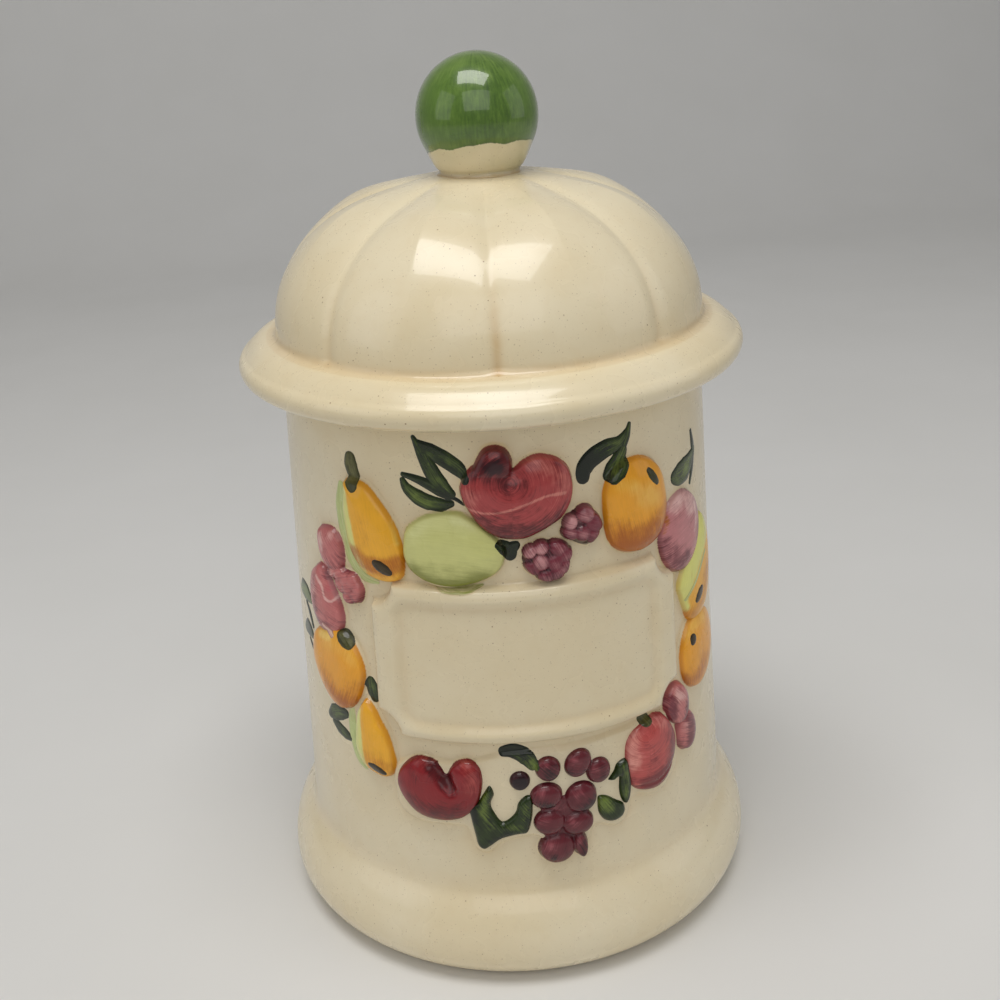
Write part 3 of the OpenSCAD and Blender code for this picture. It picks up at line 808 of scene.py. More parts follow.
# %% [markdown]
# One function makes every raised piece: it lays a fine grid over the outlines' box, asks a
# recipe for the heights and painting numbers, drops the part of the grid that would lie in the
# wall, and wraps the rest round the jar. Its skirt dips 0.3 mm under the wall, so that no gap
# shows and the join is soft.

# %% Raised pieces
GROUND = []
SINK, SKIRT, MARGIN = 0.3, 1.2, 2.4


def painting_numbers(made, x):
    """The numbers that the materials read, with what holds where a recipe doesn't say."""
    d = made["d"]
    numbers = {key: made.get(key, np.zeros(x.shape)) for key in ("dark", "light", "accent")}
    numbers["paint"] = made.get("paint", smooth(-0.8, 1.0, d))
    numbers["rim"] = made.get("rim", np.clip(d / 1.8, 0, 2))
    numbers["toning"] = made.get("toning", 0.24 * np.exp(-np.clip(-d - 0.2, 0, 9) / 1.4))
    return numbers


def raised(name, box, recipe, material, step=0.3, replaces=()):
    """A raised piece on the jar's wall, from a recipe that gives distance, height and painting."""
    x0, x1, z0, z1 = box
    x, z = np.meshgrid(np.arange(x0 - MARGIN, x1 + MARGIN, step),
                       np.arange(z0 - MARGIN, z1 + MARGIN, step))
    made = recipe(x, z)
    d = made["d"]
    sunk = -SINK * smooth(0, 0.8, -FILLET - d)
    height = np.where(d < -FILLET, sunk, np.maximum(made["height"], 0.0))
    quads = grid_quads(*x.shape)
    quads = quads[(d > -FILLET - SKIRT).ravel()[quads].all(1)]
    used = np.unique(quads)
    new = np.full(x.size, -1)
    new[used] = np.arange(len(used))
    numbers = {key: n.ravel()[used] for key, n in painting_numbers(made, x).items()}
    stroke = made.get("stroke", straight_path(x, z, 0)).reshape(-1, 3)[used]
    points = on_wall(x, z, height).reshape(-1, 3)[used]
    piece = mesh_from(name, points, new[quads], numbers, {"stroke": stroke})
    piece.data.materials.append(material)
    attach(piece, "jar")
    if replaces:
        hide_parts(*replaces)
    GROUND.append((x0 - 2, x1 + 2, z0 - 2, z1 + 2, recipe))
    return piece


def box_of(*lines):
    """The box round some outlines: least and greatest x, least and greatest z."""
    points = np.vstack([np.asarray(line, float) for line in lines])
    return points[:, 0].min(), points[:, 0].max(), points[:, 1].min(), points[:, 1].max()


print("fillet", FILLET, "mm, skirt", SINK, "mm under the wall")

# %% [markdown]
# ### The backing and the fruit recipe
# The lower part of the wreath was modelled on a thin pad of clay, which the mould kept: a step of
# a millimetre round the fruit. Every single fruit then follows one recipe: its dome, the creases
# and dimple pressed into it, and the dabs of dark, light and second colour. Its foot is made
# darker too, as a painted shade.

# %% Backing and fruit recipe
def backing_recipe(x, z):
    """The thin pad of clay behind the lower fruit."""
    d = inside_distance(smooth_curve(BACKING, True), x, z)
    toning = 0.16 * np.exp(-(d / 1.2) ** 2) + 0.08
    return {"d": d, "height": dome(d, 1.5, 1.1), "paint": np.zeros(x.shape), "toning": toning}


def fruit_recipe(line, rise, crown, path, foot=0.3, crease=(), dimple=None, dark=(), light=(),
                 accent=(), edge=0.8):
    """One fruit: its dome, what is pressed into it, and where its colours lie."""
    curve = smooth_curve(line, True)
    top, bottom = curve[:, 1].max(), curve[:, 1].min()

    def recipe(x, z):
        d = inside_distance(curve, x, z)
        height = dome(d, crown, rise)
        if dimple:
            cx, cz, r, depth = dimple
            hollow = depth * np.exp(-((x - cx) ** 2 + (z - cz) ** 2) / r**2)
            height = height - hollow * smooth(0, 3, d)
        for pressed, width, depth in crease:
            height = press(height, x, z, pressed, width, depth * smooth(0, 2.0, d))
        # The fruit is made darker towards its foot: a painted shade.
        low = foot * smooth(0.5, 1.0, (top - z) / (top - bottom))
        return {
            "d": d, "height": height, "stroke": path(x, z), "dark": low + dabs(x, z, dark),
            "light": dabs(x, z, light), "accent": dabs(x, z, accent),
            "paint": np.clip(0.5 + (d - 0.1) / edge, 0, 1.3),
        }

    return recipe


def fruit(name, material, slot, rise, crown, path, step=0.3, **details):
    """One raised fruit, from its outline."""
    recipe = fruit_recipe(SHAPES[name], rise, crown, path, **details)
    box = box_of(SHAPES[name])
    return raised(name + "_glazed", box, recipe, material, step, [name])


backing = raised(
    "wreath_backing", box_of(BACKING), backing_recipe, CREAM, step=0.45)
print("backing:", len(backing.data.vertices), "points")

# %% [markdown]
# ### The apples
# The painter turned the brush round each apple's dimple, so the streaks are rings, darker at the
# dimple. Each apple is also darker along its foot, a painted shade. The top apple carries a
# second, darker lobe on its left shoulder, nearly black in its middle, and both were glazed as
# one.

# %% Top apple
def with_lobe(recipe, line, rise, crown):
    """A fruit whose shoulder carries a second, darker lobe."""
    curve = smooth_curve(line, True)

    def both(x, z):
        made, d = recipe(x, z), inside_distance(curve, x, z)
        made["height"] = np.maximum(made["height"], dome(d, crown, rise))
        made["d"] = np.maximum(made["d"], d)
        made["paint"] = np.clip(0.5 + (made["d"] - 0.1) / 0.8, 0, 1.3)
        made["dark"] = made["dark"] + 0.9 * smooth(-0.8, 0.8, d) * smooth(180.0, 186.5, z)
        made["light"] = made["light"] * smooth(1.0, -3.0, d)
        black = np.exp(-(((x + 8.8) / 4.2) ** 2) - ((z - 187.2) / 3.6) ** 2)
        made["accent"] = made["accent"] + 0.8 * black * smooth(-1.0, 1.0, d)
        return made

    return both


# On the top apple, the lighter patches at the upper right and left are painted highlights, and the
# thin pale line across it, with the darker colour below it, is a painted reflection.
top_apple_recipe = fruit_recipe(
    SHAPES["top_apple"], 5.2, 10.5, rings(-4.2, 181.2), dimple=(-4.2, 181.2, 4.5, 0.4),
    crease=[([(-2.8, 188), (-3, 184.6)], 1.8, 0.9)],
    dark=[([(-6.6, 180.7), (-4.4, 181.3), (0.2, 180.9)], 5.4, 3.0, 0.6),
          ([(-14, 168.4), (-5.1, 165.2), (3.3, 165.8), (9.8, 169.8)], 7, 3, 0.5),
          ([(-11.5, 171.4), (-5, 172.2), (3, 173.8)], 2.6, 1.2, 0.3)],
    light=[([(3.4, 186.8), (9.4, 184.6), (12.1, 178.7)], 6, 3, 0.5),
           ([(-15.4, 181.8), (-16.4, 176.6)], 5, 2.4, 0.5),
           ([(-18.7, 174.2), (-13, 172.8), (-6.2, 173.2), (0, 174.9), (6.4, 176.9), (12, 176.7)],
            0.8, 0.35, 0.9)])
top_apple = raised(
    "top_apple_glazed", box_of(SHAPES["top_apple"], SHAPES["apple_lobe"]),
    with_lobe(top_apple_recipe, SHAPES["apple_lobe"], 4.6, 5.5), RED,
    replaces=["top_apple"])
print("top apple:", len(top_apple.data.vertices), "points")

# %% Lower apples
bottom_apple = fruit(
    "bottom_apple", WINE, "red_glaze", 4.8, 9.0, rings(-28.5, 76), step=0.35,
    crease=[([(-30.2, 82), (-29.6, 78.9), (-27.6, 75.2)], 1.8, 1.5),
            ([(-34, 82.8), (-31.5, 79.6), (-28.6, 76.4)], 1.4, 0.6)],
    dark=[([(-34, 82.4), (-31, 79.6), (-28.4, 75.6)], 5, 1.8, 0.85),
          ([(-39.6, 68.9), (-33.2, 66.1), (-25.9, 66.7)], 6, 3, 0.4),
          ([(-42, 80.7), (-42.4, 72)], 5, 2.5, 0.25)],
    light=[([(-38.6, 84), (-34.1, 83.8)], 3.4, 1.6, 0.4),
           ([(-23.5, 84.6), (-20.8, 81.4), (-21.6, 75.7)], 4, 2, 0.5)])
# On the right apple, the paler left side is a painted highlight and the darker right side a
# painted shade.
right_apple = fruit(
    "right_apple", ROSE, "rose_glaze", 4.6, 9.5, rings(36.6, 86), step=0.35,
    dimple=(37, 87, 3.0, 0.7),
    crease=[([(31.1, 66.1), (34.3, 66), (39.7, 65.4), (44.6, 67.1), (49.4, 69)], 0.7, 0.5)],
    dark=[([(31, 69), (36, 66.8), (42, 67), (47, 70)], 3, 1.6, 0.45),
          ([(36.4, 81.7), (38.9, 74.1)], 4, 2, 0.3),
          ([(48.6, 80), (48.4, 73), (45.6, 67.4), (38, 65)], 8, 4, 0.85)],
    light=[([(32, 86.1), (30.6, 81), (30.9, 75.1)], 5, 2.4, 0.6),
           ([(40.7, 88.6), (43.3, 86.3)], 5, 2, 0.45),
           ([(31.1, 65.6), (34.3, 65.8), (39.7, 65.2), (44.6, 66.9), (49.6, 68.2)],
            0.9, 0.4, 0.8)])
print("lower apples:", bottom_apple.name, right_apple.name)

# %% [markdown]
# ### The lime, the oranges and the mauve plum
# These are plain full domes. The lime is stroked along its length, and its lower part carries a
# darker green band, partly its own colour and partly painted shade. The oranges are lighter on
# their upper side, a painted highlight, and rust-coloured at their foot, with painted shade over
# the rust. The plum is streaked pink over purple, and some rust ran on to its edge.

# %% Lime
# The lime's dark dabs near its foot are partly its olive band and partly painted shade.
lime = fruit(
    "lime", LIME, "lime_glaze", 4.8, 10.5, strokes_at(84, 0.010, 1.0), foot=0.25, edge=2.6,
    dark=[([(-34, 155), (-25.6, 154.5), (-17, 155.6)], 3.6, 2.4, 0.25),
          ([(-36, 151.6), (-31.6, 149), (-24, 147.8), (-13.7, 150)], 5.4, 3.6, 0.95)],
    light=[([(-34.3, 165.2), (-27.9, 169), (-18.5, 169)], 8, 4, 0.5)],
    accent=[([(-31.6, 149.6), (-24, 148.3), (-15, 150.2)], 2.4, 1.1, 0.5)])
print("lime:", len(lime.data.vertices), "points")

# %% Oranges
# The oranges' light dabs on their upper sides are painted highlights; their darker foot is rust
# with painted shade.
top_orange = fruit(
    "top_orange", ORANGE, "orange_glaze", 5.0, 10.5, strokes_at(10, -0.006, 2.0), foot=0.5,
    dark=[([(27.5, 160), (34.4, 157.4), (43.9, 158.4), (50, 161)], 9, 3, 0.5),
          ([(30, 153.6), (40, 152), (48, 155)], 4, 2, 0.35)],
    light=[([(39.3, 169.8), (42.8, 167.9)], 9, 4, 0.5), ([(31, 175), (34.2, 174.4)], 5, 2.5, 0.4),
           ([(49.2, 174), (50.4, 166)], 2, 1, 0.5),
           ([(31.8, 153), (35.6, 152.6), (40.1, 153.4)], 0.9, 0.4, 0.8)])
left_orange = fruit(
    "left_orange", ORANGE, "orange_glaze", 4.2, 9.5, strokes_at(-20, 0.008, 3.0), foot=0.45,
    dark=[([(-75.9, 104.7), (-70.2, 99.6), (-64.7, 98)], 8, 3, 0.4),
          ([(-64.9, 104.8), (-60.5, 105.7)], 5, 2.5, 0.3)],
    light=[([(-74.9, 117.3), (-67.5, 119), (-61, 115.2)], 7, 3, 0.4),
           ([(-79, 119.4), (-73, 120.6)], 3, 1.2, 0.6)])
right_orange = fruit(
    "right_orange", ORANGE, "orange_glaze", 3.4, 9.5, strokes_at(12, -0.006, 4.0),
    dark=[([(59, 94.9), (63.5, 93.6), (70.2, 98)], 7, 3, 0.4)],
    light=[([(60.2, 111.1), (65.5, 114.1), (70.8, 113.5)], 6, 3, 0.5)])
print("oranges:", top_orange.name, left_orange.name, right_orange.name)

# %% Mauve plum
mauve_plum = fruit(
    "mauve_plum", MAUVE, "plum_glaze", 3.4, 9.0, strokes_at(-75, 0.0, 5.0), foot=0.2,
    dark=[([(48.4, 147.9), (52.3, 143.6), (58.6, 139.4)], 8, 3, 0.6),
          ([(70.6, 156.6), (69.6, 150.8), (67.4, 144.3)], 1.6, 0.8, 0.7),
          ([(60.6, 141.4)], 2.4, 0.8, 0.5)],
    light=[([(55.2, 161.4), (61.1, 162), (63.8, 157.9)], 8, 3, 0.6),
           ([(67.2, 157), (67, 152), (65.7, 148)], 1.2, 0.6, 0.7)],
    accent=[([(49.7, 162.4), (51, 156.5), (49.4, 153)], 3.4, 1.6, 0.54)])
print("mauve plum:", len(mauve_plum.data.vertices), "points")

# %% [markdown]
# ### The pears
# A pear is a belly that runs up into a neck. Its outer side was washed with pale green, and the
# yellow went over it. Only where the yellow is thin does the green still show.

# %% Pears
upper_pear = fruit(
    "upper_pear", PEAR, "pear_glaze", 4.6, 9.0, strokes_at(14, 0.0, 6.0), foot=0.0,
    dark=[([(-56, 155), (-52, 153), (-45, 152.8), (-40.4, 154)], 6.6, 1.6, 0.7),
          ([(-52.8, 168), (-50, 160.6)], 6, 3, 0.22)],
    light=[([(-61.4, 174), (-59.8, 166), (-58.6, 158), (-55.4, 150.4)], 6.6, 1.3, 1.0),
           ([(-43, 167.5), (-40.8, 160.5)], 1.6, 1.0, 0.4)])
lower_pear = fruit(
    "lower_pear", PEAR, "pear_glaze", 4.2, 7.5, strokes_at(6, 0.0, 7.0), foot=0.35,
    dark=[([(-56.9, 80.2), (-51.8, 78.9)], 5, 2, 0.3)],
    light=[([(-63.4, 96), (-63, 90), (-62.8, 84), (-62.2, 75)], 7.4, 1.1, 1.0)])
right_pear = fruit(
    "right_pear", PEAR, "pear_glaze", 3.4, 9.0, strokes_at(-20, 0.0, 8.0), foot=0.0,
    dark=[([(61, 117.6), (66, 119), (72.4, 125), (77, 131)], 7, 2.5, 0.5)],
    light=[([(56.4, 131), (61.5, 137), (68.4, 144), (73.4, 150)], 14, 2.4, 1.0),
           ([(57.6, 128.3), (58.8, 125), (60.4, 121)], 3.4, 1.2, 0.9)])
print("pears:", upper_pear.name, lower_pear.name, right_pear.name)

# %% [markdown]
# ### Plums, brambles and grapes
# Separate balls would cut through each other in hard lines and leave gaps. Where two small fruits
# meet in clay, the higher one shows, so the cluster's height is the greatest of its members',
# with a soft valley between. Each has its own brush direction, a painted shade on its lower side
# and a soft painted highlight at its upper left. A bramble is a core with drupelets round it,
# which are small domes strewn inside its outline, with a painted highlight on their tops and
# painted shade between them.

# %% Cluster recipe
def heap(lumps, x, z):
    """The height of small domes, each given as (x, z, radius, height)."""
    height = np.zeros(x.shape)
    for lx, lz, lr, lh in lumps:
        q = np.clip(1 - ((x - lx) ** 2 + (z - lz) ** 2) / lr**2, 0, 1)
        height = np.maximum(height, lh * np.sqrt(q))
    return height


def cluster_recipe(members, seed, dark=(), light=(), accent=()):
    """Several small fruits in one piece; members are (line, rise, crown, lumps)."""
    curves = [(smooth_curve(line, True), *rest) for line, *rest in members]

    def recipe(x, z):
        made = {key: np.zeros(x.shape) for key in ("height", "dark", "light", "rim")}
        made["d"], made["stroke"] = np.full(x.shape, -99.0), np.zeros(x.shape + (3,))
        best = np.full(x.shape, -1.0)
        for i, (curve, rise, crown, lumps) in enumerate(curves):
            d, lumpy = inside_distance(curve, x, z), heap(lumps, x, z)
            if lumps:
                d = d - 0.6 + 0.8 * np.clip(lumpy, 0, 1.2)
            height, valley = dome(d, crown, rise), np.zeros(x.shape)
            if lumps:
                height = height * 0.78 + lumpy * smooth(-0.4, 1.0, d)
                valley = 1 - smooth(0.1, 0.9, lumpy)
            (cx, cz), (w, h) = (curve.max(0) + curve.min(0)) / 2, curve.max(0) - curve.min(0)
            top = (height > best) & (d > -FILLET)
            best = np.where(top, height, best)
            stroke = straight_path(x, z, 25 + 47 * i, 0.01, seed + i)
            # Painted shade on each member's lower side and between its lumps, and a painted
            # highlight at its upper left and on the lumps' tops.
            painted_shade_side = 0.45 * smooth(-0.1, 0.5, ((cz - z) / h + 0.35 * (x - cx) / w * (-1) ** i))
            painted_highlight = np.exp(-(((x - cx) / w + 0.18) ** 2 + ((z - cz) / h - 0.2) ** 2) / 0.035)
            shown = {"dark": painted_shade_side + 0.6 * valley, "rim": np.clip(d / 1.4, 0, 2),
                     "light": 0.45 * painted_highlight + 0.42 * smooth(0.7, 1.6, lumpy)}
            for key, value in shown.items():
                made[key] = np.where(top, value, made[key])
            made["stroke"] = np.where(top[..., None], stroke, made["stroke"])
            made["d"] = np.maximum(made["d"], d)
            made["height"] = np.maximum(made["height"], height)
        made["dark"] = made["dark"] + dabs(x, z, dark)
        made["light"] = made["light"] + dabs(x, z, light)
        made["accent"] = dabs(x, z, accent)
        made["paint"] = np.clip(0.6 + made["d"] / 0.8, 0, 1.3)
        return made

    return recipe


print("two lumps at their middle:", heap([(0, 0, 2, 1), (1, 0, 2, 0.5)], *np.zeros((2, 1))))

# %% Drupelets
rng = np.random.default_rng(11)


def drupelets(line, size, rise, gap=1.15):
    """Lumps strewn inside an outline, each at least a gap from its neighbours."""
    curve, spots = smooth_curve(line, True), []
    (x0, z0), (x1, z1) = curve.min(0), curve.max(0)
    for x, z in zip(rng.uniform(x0, x1, 500), rng.uniform(z0, z1, 500)):
        inside = inside_distance(curve, np.array([x]), np.array([z]))[0]
        apart = all(math.hypot(x - a, z - b) > size * gap for a, b, _, _ in spots)
        if inside > size * 0.35 and apart:
            spots.append((x, z, size * rng.uniform(0.85, 1.2), rise * rng.uniform(0.7, 1.1)))
    return spots


# Only the inner end of the lowest plum was pressed with lumps.
plum_lumps = [lump for lump in drupelets(SHAPES["plum_c"], 2.6, 1.1) if lump[0] > -70]
print("lumps on the plum:", len(plum_lumps))

# %% Plums
left_plums = raised(
    "left_plums_glazed", box_of(SHAPES["plum_a"], SHAPES["plum_b"], SHAPES["plum_c"]),
    cluster_recipe(
        [(SHAPES["plum_a"], 3.4, 6, []), (SHAPES["plum_b"], 3.8, 8, []),
         (SHAPES["plum_c"], 2.9, 4.5, plum_lumps)], 20.0,
        dark=[([(-73.8, 141.6), (-70.4, 144.6)], 3, 1.2, 0.6),
              ([(-79.4, 137.9), (-78.6, 128)], 3, 1.5, 0.35),
              ([(-77, 123.6), (-71.6, 124.6)], 3, 1.5, 0.3)],
        light=[([(-77.6, 141), (-74.6, 138), (-73.2, 134.6), (-70.4, 133.8), (-68.7, 136.3),
                 (-70.1, 140.3), (-72.3, 142)], 0.9, 0.45, 0.9),
               ([(-73.6, 157.2), (-72.6, 152)], 1.8, 0.8, 0.5), ([(-68.4, 157.5)], 3.4, 1.5, 0.5)],
        accent=[([(-71.6, 138.4)], 4.6, 1.2, 0.5)]),
    PLUM, step=0.35, replaces=["left_plums"])
right_berries = raised(
    "right_berries_glazed", box_of(SHAPES["plum_d"], SHAPES["plum_e"]),
    cluster_recipe(
        [(SHAPES["plum_d"], 3.8, 5, []), (SHAPES["plum_e"], 3.0, 5, [])], 30.0,
        dark=[([(48.3, 92.2), (49.4, 86)], 4, 1.6, 0.8),
              ([(57.4, 88.6), (56.4, 82.4)], 4, 1.6, 0.6), ([(59.4, 78.6), (60, 70)], 6, 2, 0.8)],
        light=[([(51.7, 94.4), (54.6, 91)], 3, 1.5, 0.5)]),
    PLUM, replaces=["right_berries"])
print("plums:", left_plums.name, right_berries.name)

# %% Brambles and grapes
BRAMBLES = [SHAPES["berry_1"], SHAPES["berry_2"]]
bramble_members = [(line, 3.5, 5, drupelets(line, 2.9, 1.7)) for line in BRAMBLES]
top_berries = raised(
    "top_berries_glazed", box_of(*BRAMBLES), cluster_recipe(bramble_members, 40.0),
    BERRY, replaces=["top_berries"])

# The three grapes at the top and the single one at the left stand lower than the rest.
GRAPE_RISES = [3.6] * 3 + [4.2] * 6 + [3.0]
grape_members = [
    (oval(*grape), rise, min(grape[2], grape[3]) * 0.46, [])
    for grape, rise in zip(GRAPES, GRAPE_RISES)
]
grapes = raised(
    "grape_bunch_glazed", box_of(*[oval(*grape) for grape in GRAPES]),
    cluster_recipe(
        grape_members + [(BETWEEN_GRAPES, 2.0, 3, [])], 50.0,
        dark=[([(13, 65.6), (15, 66.4)], 5, 2, 0.5), ([(2.6, 82), (3, 78.6)], 5, 2, 0.5),
              ([(19.4, 74.6), (20.4, 78)], 3, 1.5, 0.4), ([(1, 69.4), (3.6, 68)], 3, 1.5, 0.4),
              ([(3, 48.4)], 3, 1, 0.6), ([(-6.5, 77.6)], 9, 1.5, 1.3),
              ([(11.9, 52), (11.9, 48)], 2.4, 1, 0.4)],
        accent=[([(-6.5, 77.4)], 6.4, 1.6, 0.6)]),
    GRAPE, step=0.35, replaces=["grape_bunch"])
print("clusters:", top_berries.name, grapes.name)
print("drupelets on the brambles:", [len(member[-1]) for member in bramble_members])

# %% [markdown]
# ### The raised leaves
# The leaves at the bottom and beside the grapes are pressed in low relief. A flat sheet with a
# thickness would have a hard edge, so they rise like the fruit, only lower. The brush left them
# dark with a yellow-green light in the middle.

# %% Raised leaves
LEAF_RISE = 2.9


def leaves_recipe(lines, turns, dark, light, seed):
    """Low leaves, each with its own brush direction."""
    curves = [smooth_curve(line, True) for line in lines]

    def recipe(x, z):
        made = {"d": np.full(x.shape, -99.0), "height": np.zeros(x.shape),
                "stroke": np.zeros(x.shape + (3,))}
        for i, curve in enumerate(curves):
            d, stroke = inside_distance(curve, x, z), straight_path(x, z, turns[i], 0.0, seed + i)
            made["stroke"] = np.where((d > made["d"])[..., None], stroke, made["stroke"])
            made["d"] = np.maximum(made["d"], d)
            made["height"] = np.maximum(made["height"], dome(d, 3.0, LEAF_RISE))
        made["dark"], made["light"] = 0.2 + dabs(x, z, dark), dabs(x, z, light)
        made["rim"] = np.clip(made["d"] / 1.2, 0, 2)
        made["paint"] = np.clip(0.55 + made["d"] / 1.2, 0, 1.2)
        return made

    return recipe


def raised_leaves(name, **painting):
    """The raised leaves of one name."""
    lines = LEAVES[name]
    return raised(name + "_glazed", box_of(*lines), leaves_recipe(lines, **painting), LEAF,
                  replaces=[name])


bottom_leaves = raised_leaves(
    "bottom_leaves", turns=[35], seed=60.0,
    dark=[([(-22.6, 72), (-22.4, 64)], 4, 1.5, 0.9), ([(-19, 54), (-10, 58.6)], 3, 1.5, 0.4)],
    light=[([(-17, 74), (-18.4, 67), (-16, 61)], 3, 1.5, 0.5),
           ([(-12, 60.6), (-7, 60.4)], 3, 1.5, 0.4), ([(-5, 68), (-5.6, 64)], 2.4, 1.2, 0.4)])
grape_leaves = raised_leaves(
    "grape_leaves", turns=[4, 30], seed=62.0,
    dark=[([(30.4, 72), (30, 64)], 2.4, 1.2, 0.5)],
    light=[([(28, 76), (28.6, 70), (28.4, 65)], 3, 1.5, 0.5),
           ([(19.6, 64.6), (22, 62)], 4, 2, 0.8)])
print("leaves:", bottom_leaves.name, grape_leaves.name)

# %% [markdown]
# ## The plaque
# The plaque is a soft tablet with a scoop out of each corner. Its face is sunk a little inside a
# rolled border and is left plain here, ready for any label. A box with cut corners would meet
# the round wall badly, so it is a height over its outline, like the fruit. The tan wash stays in
# the angle at its foot and just inside the border, with painted shade over both, strongest along
# its bottom edge.

# %% Plaque
PLAQUE_T, PANEL_X, PANEL_Z, PANEL_R, PANEL_SUNK = 4.4, 43.0, 22.0, 6, 1.6


def inside_panel(x, z):
    """Distance inside the sunk panel, a rectangle with round corners."""
    ax, az = np.abs(x) - PANEL_X + PANEL_R, np.abs(z - PLAQUE_Z) - PANEL_Z + PANEL_R
    round_corner = np.hypot(np.maximum(ax, 0), np.maximum(az, 0))
    return PANEL_R - round_corner - np.minimum(np.maximum(ax, az), 0)


def plaque_recipe(x, z):
    """The tablet, its sunk panel, and the wash and painted shade in its angles, strongest below.
    """
    d, panel = inside_distance(PLAQUE_LINE, x, z), inside_panel(x, z)
    height = dome(d, 4.0, PLAQUE_T) - PANEL_SUNK * smooth(-2.0, 2.2, panel)
    # Wash with painted shade inside the border and at the foot; the foot's is made strongest
    # below.
    border_wash_and_shade = 0.16 * np.exp(-((panel - 1.5) / 2.0) ** 2)
    foot = (0.3 + 0.5 * smooth(0, -24, z - PLAQUE_Z)) * np.exp(-np.clip(d + 0.6, 0, 9) / 0.8)
    toning = np.clip(border_wash_and_shade + foot, 0, 1)
    return {"d": d, "height": height, "paint": np.zeros(x.shape), "toning": toning}


plaque = raised(
    "plaque_glazed", box_of(PLAQUE_LINE), plaque_recipe, CREAM, replaces=["plaque"])
print("plaque:", len(plaque.data.vertices), "points")

# %% [markdown]
# ## The jar's own skin
# Only now is the jar's mesh made, because the wash on its wall depends on the relief: it is
# strongest in the first two millimetres from a fruit's foot and in the angle above the foot roll.

# %% Jar mesh
JAR_TURNS, FRONT_ANGLE, WALL_FROM, WALL_TO = 480, 1.55, 36, 198


def wash_near_relief(x, z):
    """The tan wash that gathers where the wall meets the relief."""
    nearest = np.full(x.shape, 99.0)
    for x0, x1, z0, z1, recipe in GROUND:
        close = (x > x0 - 6) & (x < x1 + 6) & (z > z0 - 6) & (z < z1 + 6)
        if close.any():
            d = recipe(x[close][None], z[close][None])["d"][0]
            nearest[close] = np.minimum(nearest[close], -d)
    return 0.24 * np.exp(-np.clip(nearest - 0.4, 0, 99) / 2.6)


points, r, z, a = lathe_points(jar_outline, JAR_TURNS, wobble)
outer = r > wall_r(z) - 1.0
front = (np.minimum(a, 2 * np.pi - a) < FRONT_ANGLE) & outer & (z > WALL_FROM) & (z < WALL_TO)
x_wall = np.where(a > np.pi, a - 2 * np.pi, a) * WRAP_R
toning = 0.10 * np.exp(-((z - FOOT_TOP_Z - 1.0) / 4.5) ** 2) * outer
toning[front] += wash_near_relief(x_wall[front], z[front])
toning = np.where(z < 2.0, 0.15, toning)
quads = grid_quads(*r.shape, wrap=True)
jar = mesh_from("jar_glazed", points.reshape(-1, 3), quads, {"toning": toning})
jar.data.materials.append(CREAM)
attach(jar, "jar")
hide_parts("jar_body")
print("jar:", len(jar.data.vertices), "points")

# %% [markdown]
# ## Painted leaves and stems
# The thin leaves and stems have no relief: they are single strokes of a flat brush, laid down
# thick enough to feel. A painted texture would lie flat and need a picture file, so each is a
# ribbon along a drawn line, as wide as the brush was pressed, a fifth of a millimetre thick in
# the middle and nothing at its edge. It follows the clay under it, over wall and fruit.

# %% Ribbons
STROKE_T, STROKE_LIFT, EDGE_SINK, OVERHANG = 0.16, 0.035, 0.09, 0.35
RIBBON_STEP, RIBBON_POINTS = 0.3, 17


def ground_height(x, z):
    """Height of the clay above the wall at each place, from the recipes made so far."""
    h = np.zeros(x.shape)
    for x0, x1, z0, z1, recipe in GROUND:
        inside = (x > x0) & (x < x1) & (z > z0) & (z < z1)
        if inside.any():
            made = recipe(x[inside][None], z[inside][None])
            clay = np.maximum(made["height"][0], 0) * (made["d"][0] > -FILLET)
            h[inside] = np.maximum(h[inside], clay)
    return h


def along_line(line):
    """Even steps along a line: the way so far, the places and the direction across."""
    curve = smooth_curve(line, False, 14)
    way = np.concatenate([[0], np.cumsum(np.hypot(*np.diff(curve, axis=0).T))])
    at = np.linspace(0, way[-1], max(14, int(way[-1] / RIBBON_STEP)))
    x, z = np.interp(at, way, curve[:, 0]), np.interp(at, way, curve[:, 1])
    tx, tz = np.gradient(x), np.gradient(z)
    length = np.hypot(tx, tz)
    return at, x, z, -tz / length, tx / length


print("steps along 30 mm:", len(along_line([(0, 0), (10, 0), (20, 0), (30, 0)])[0]))

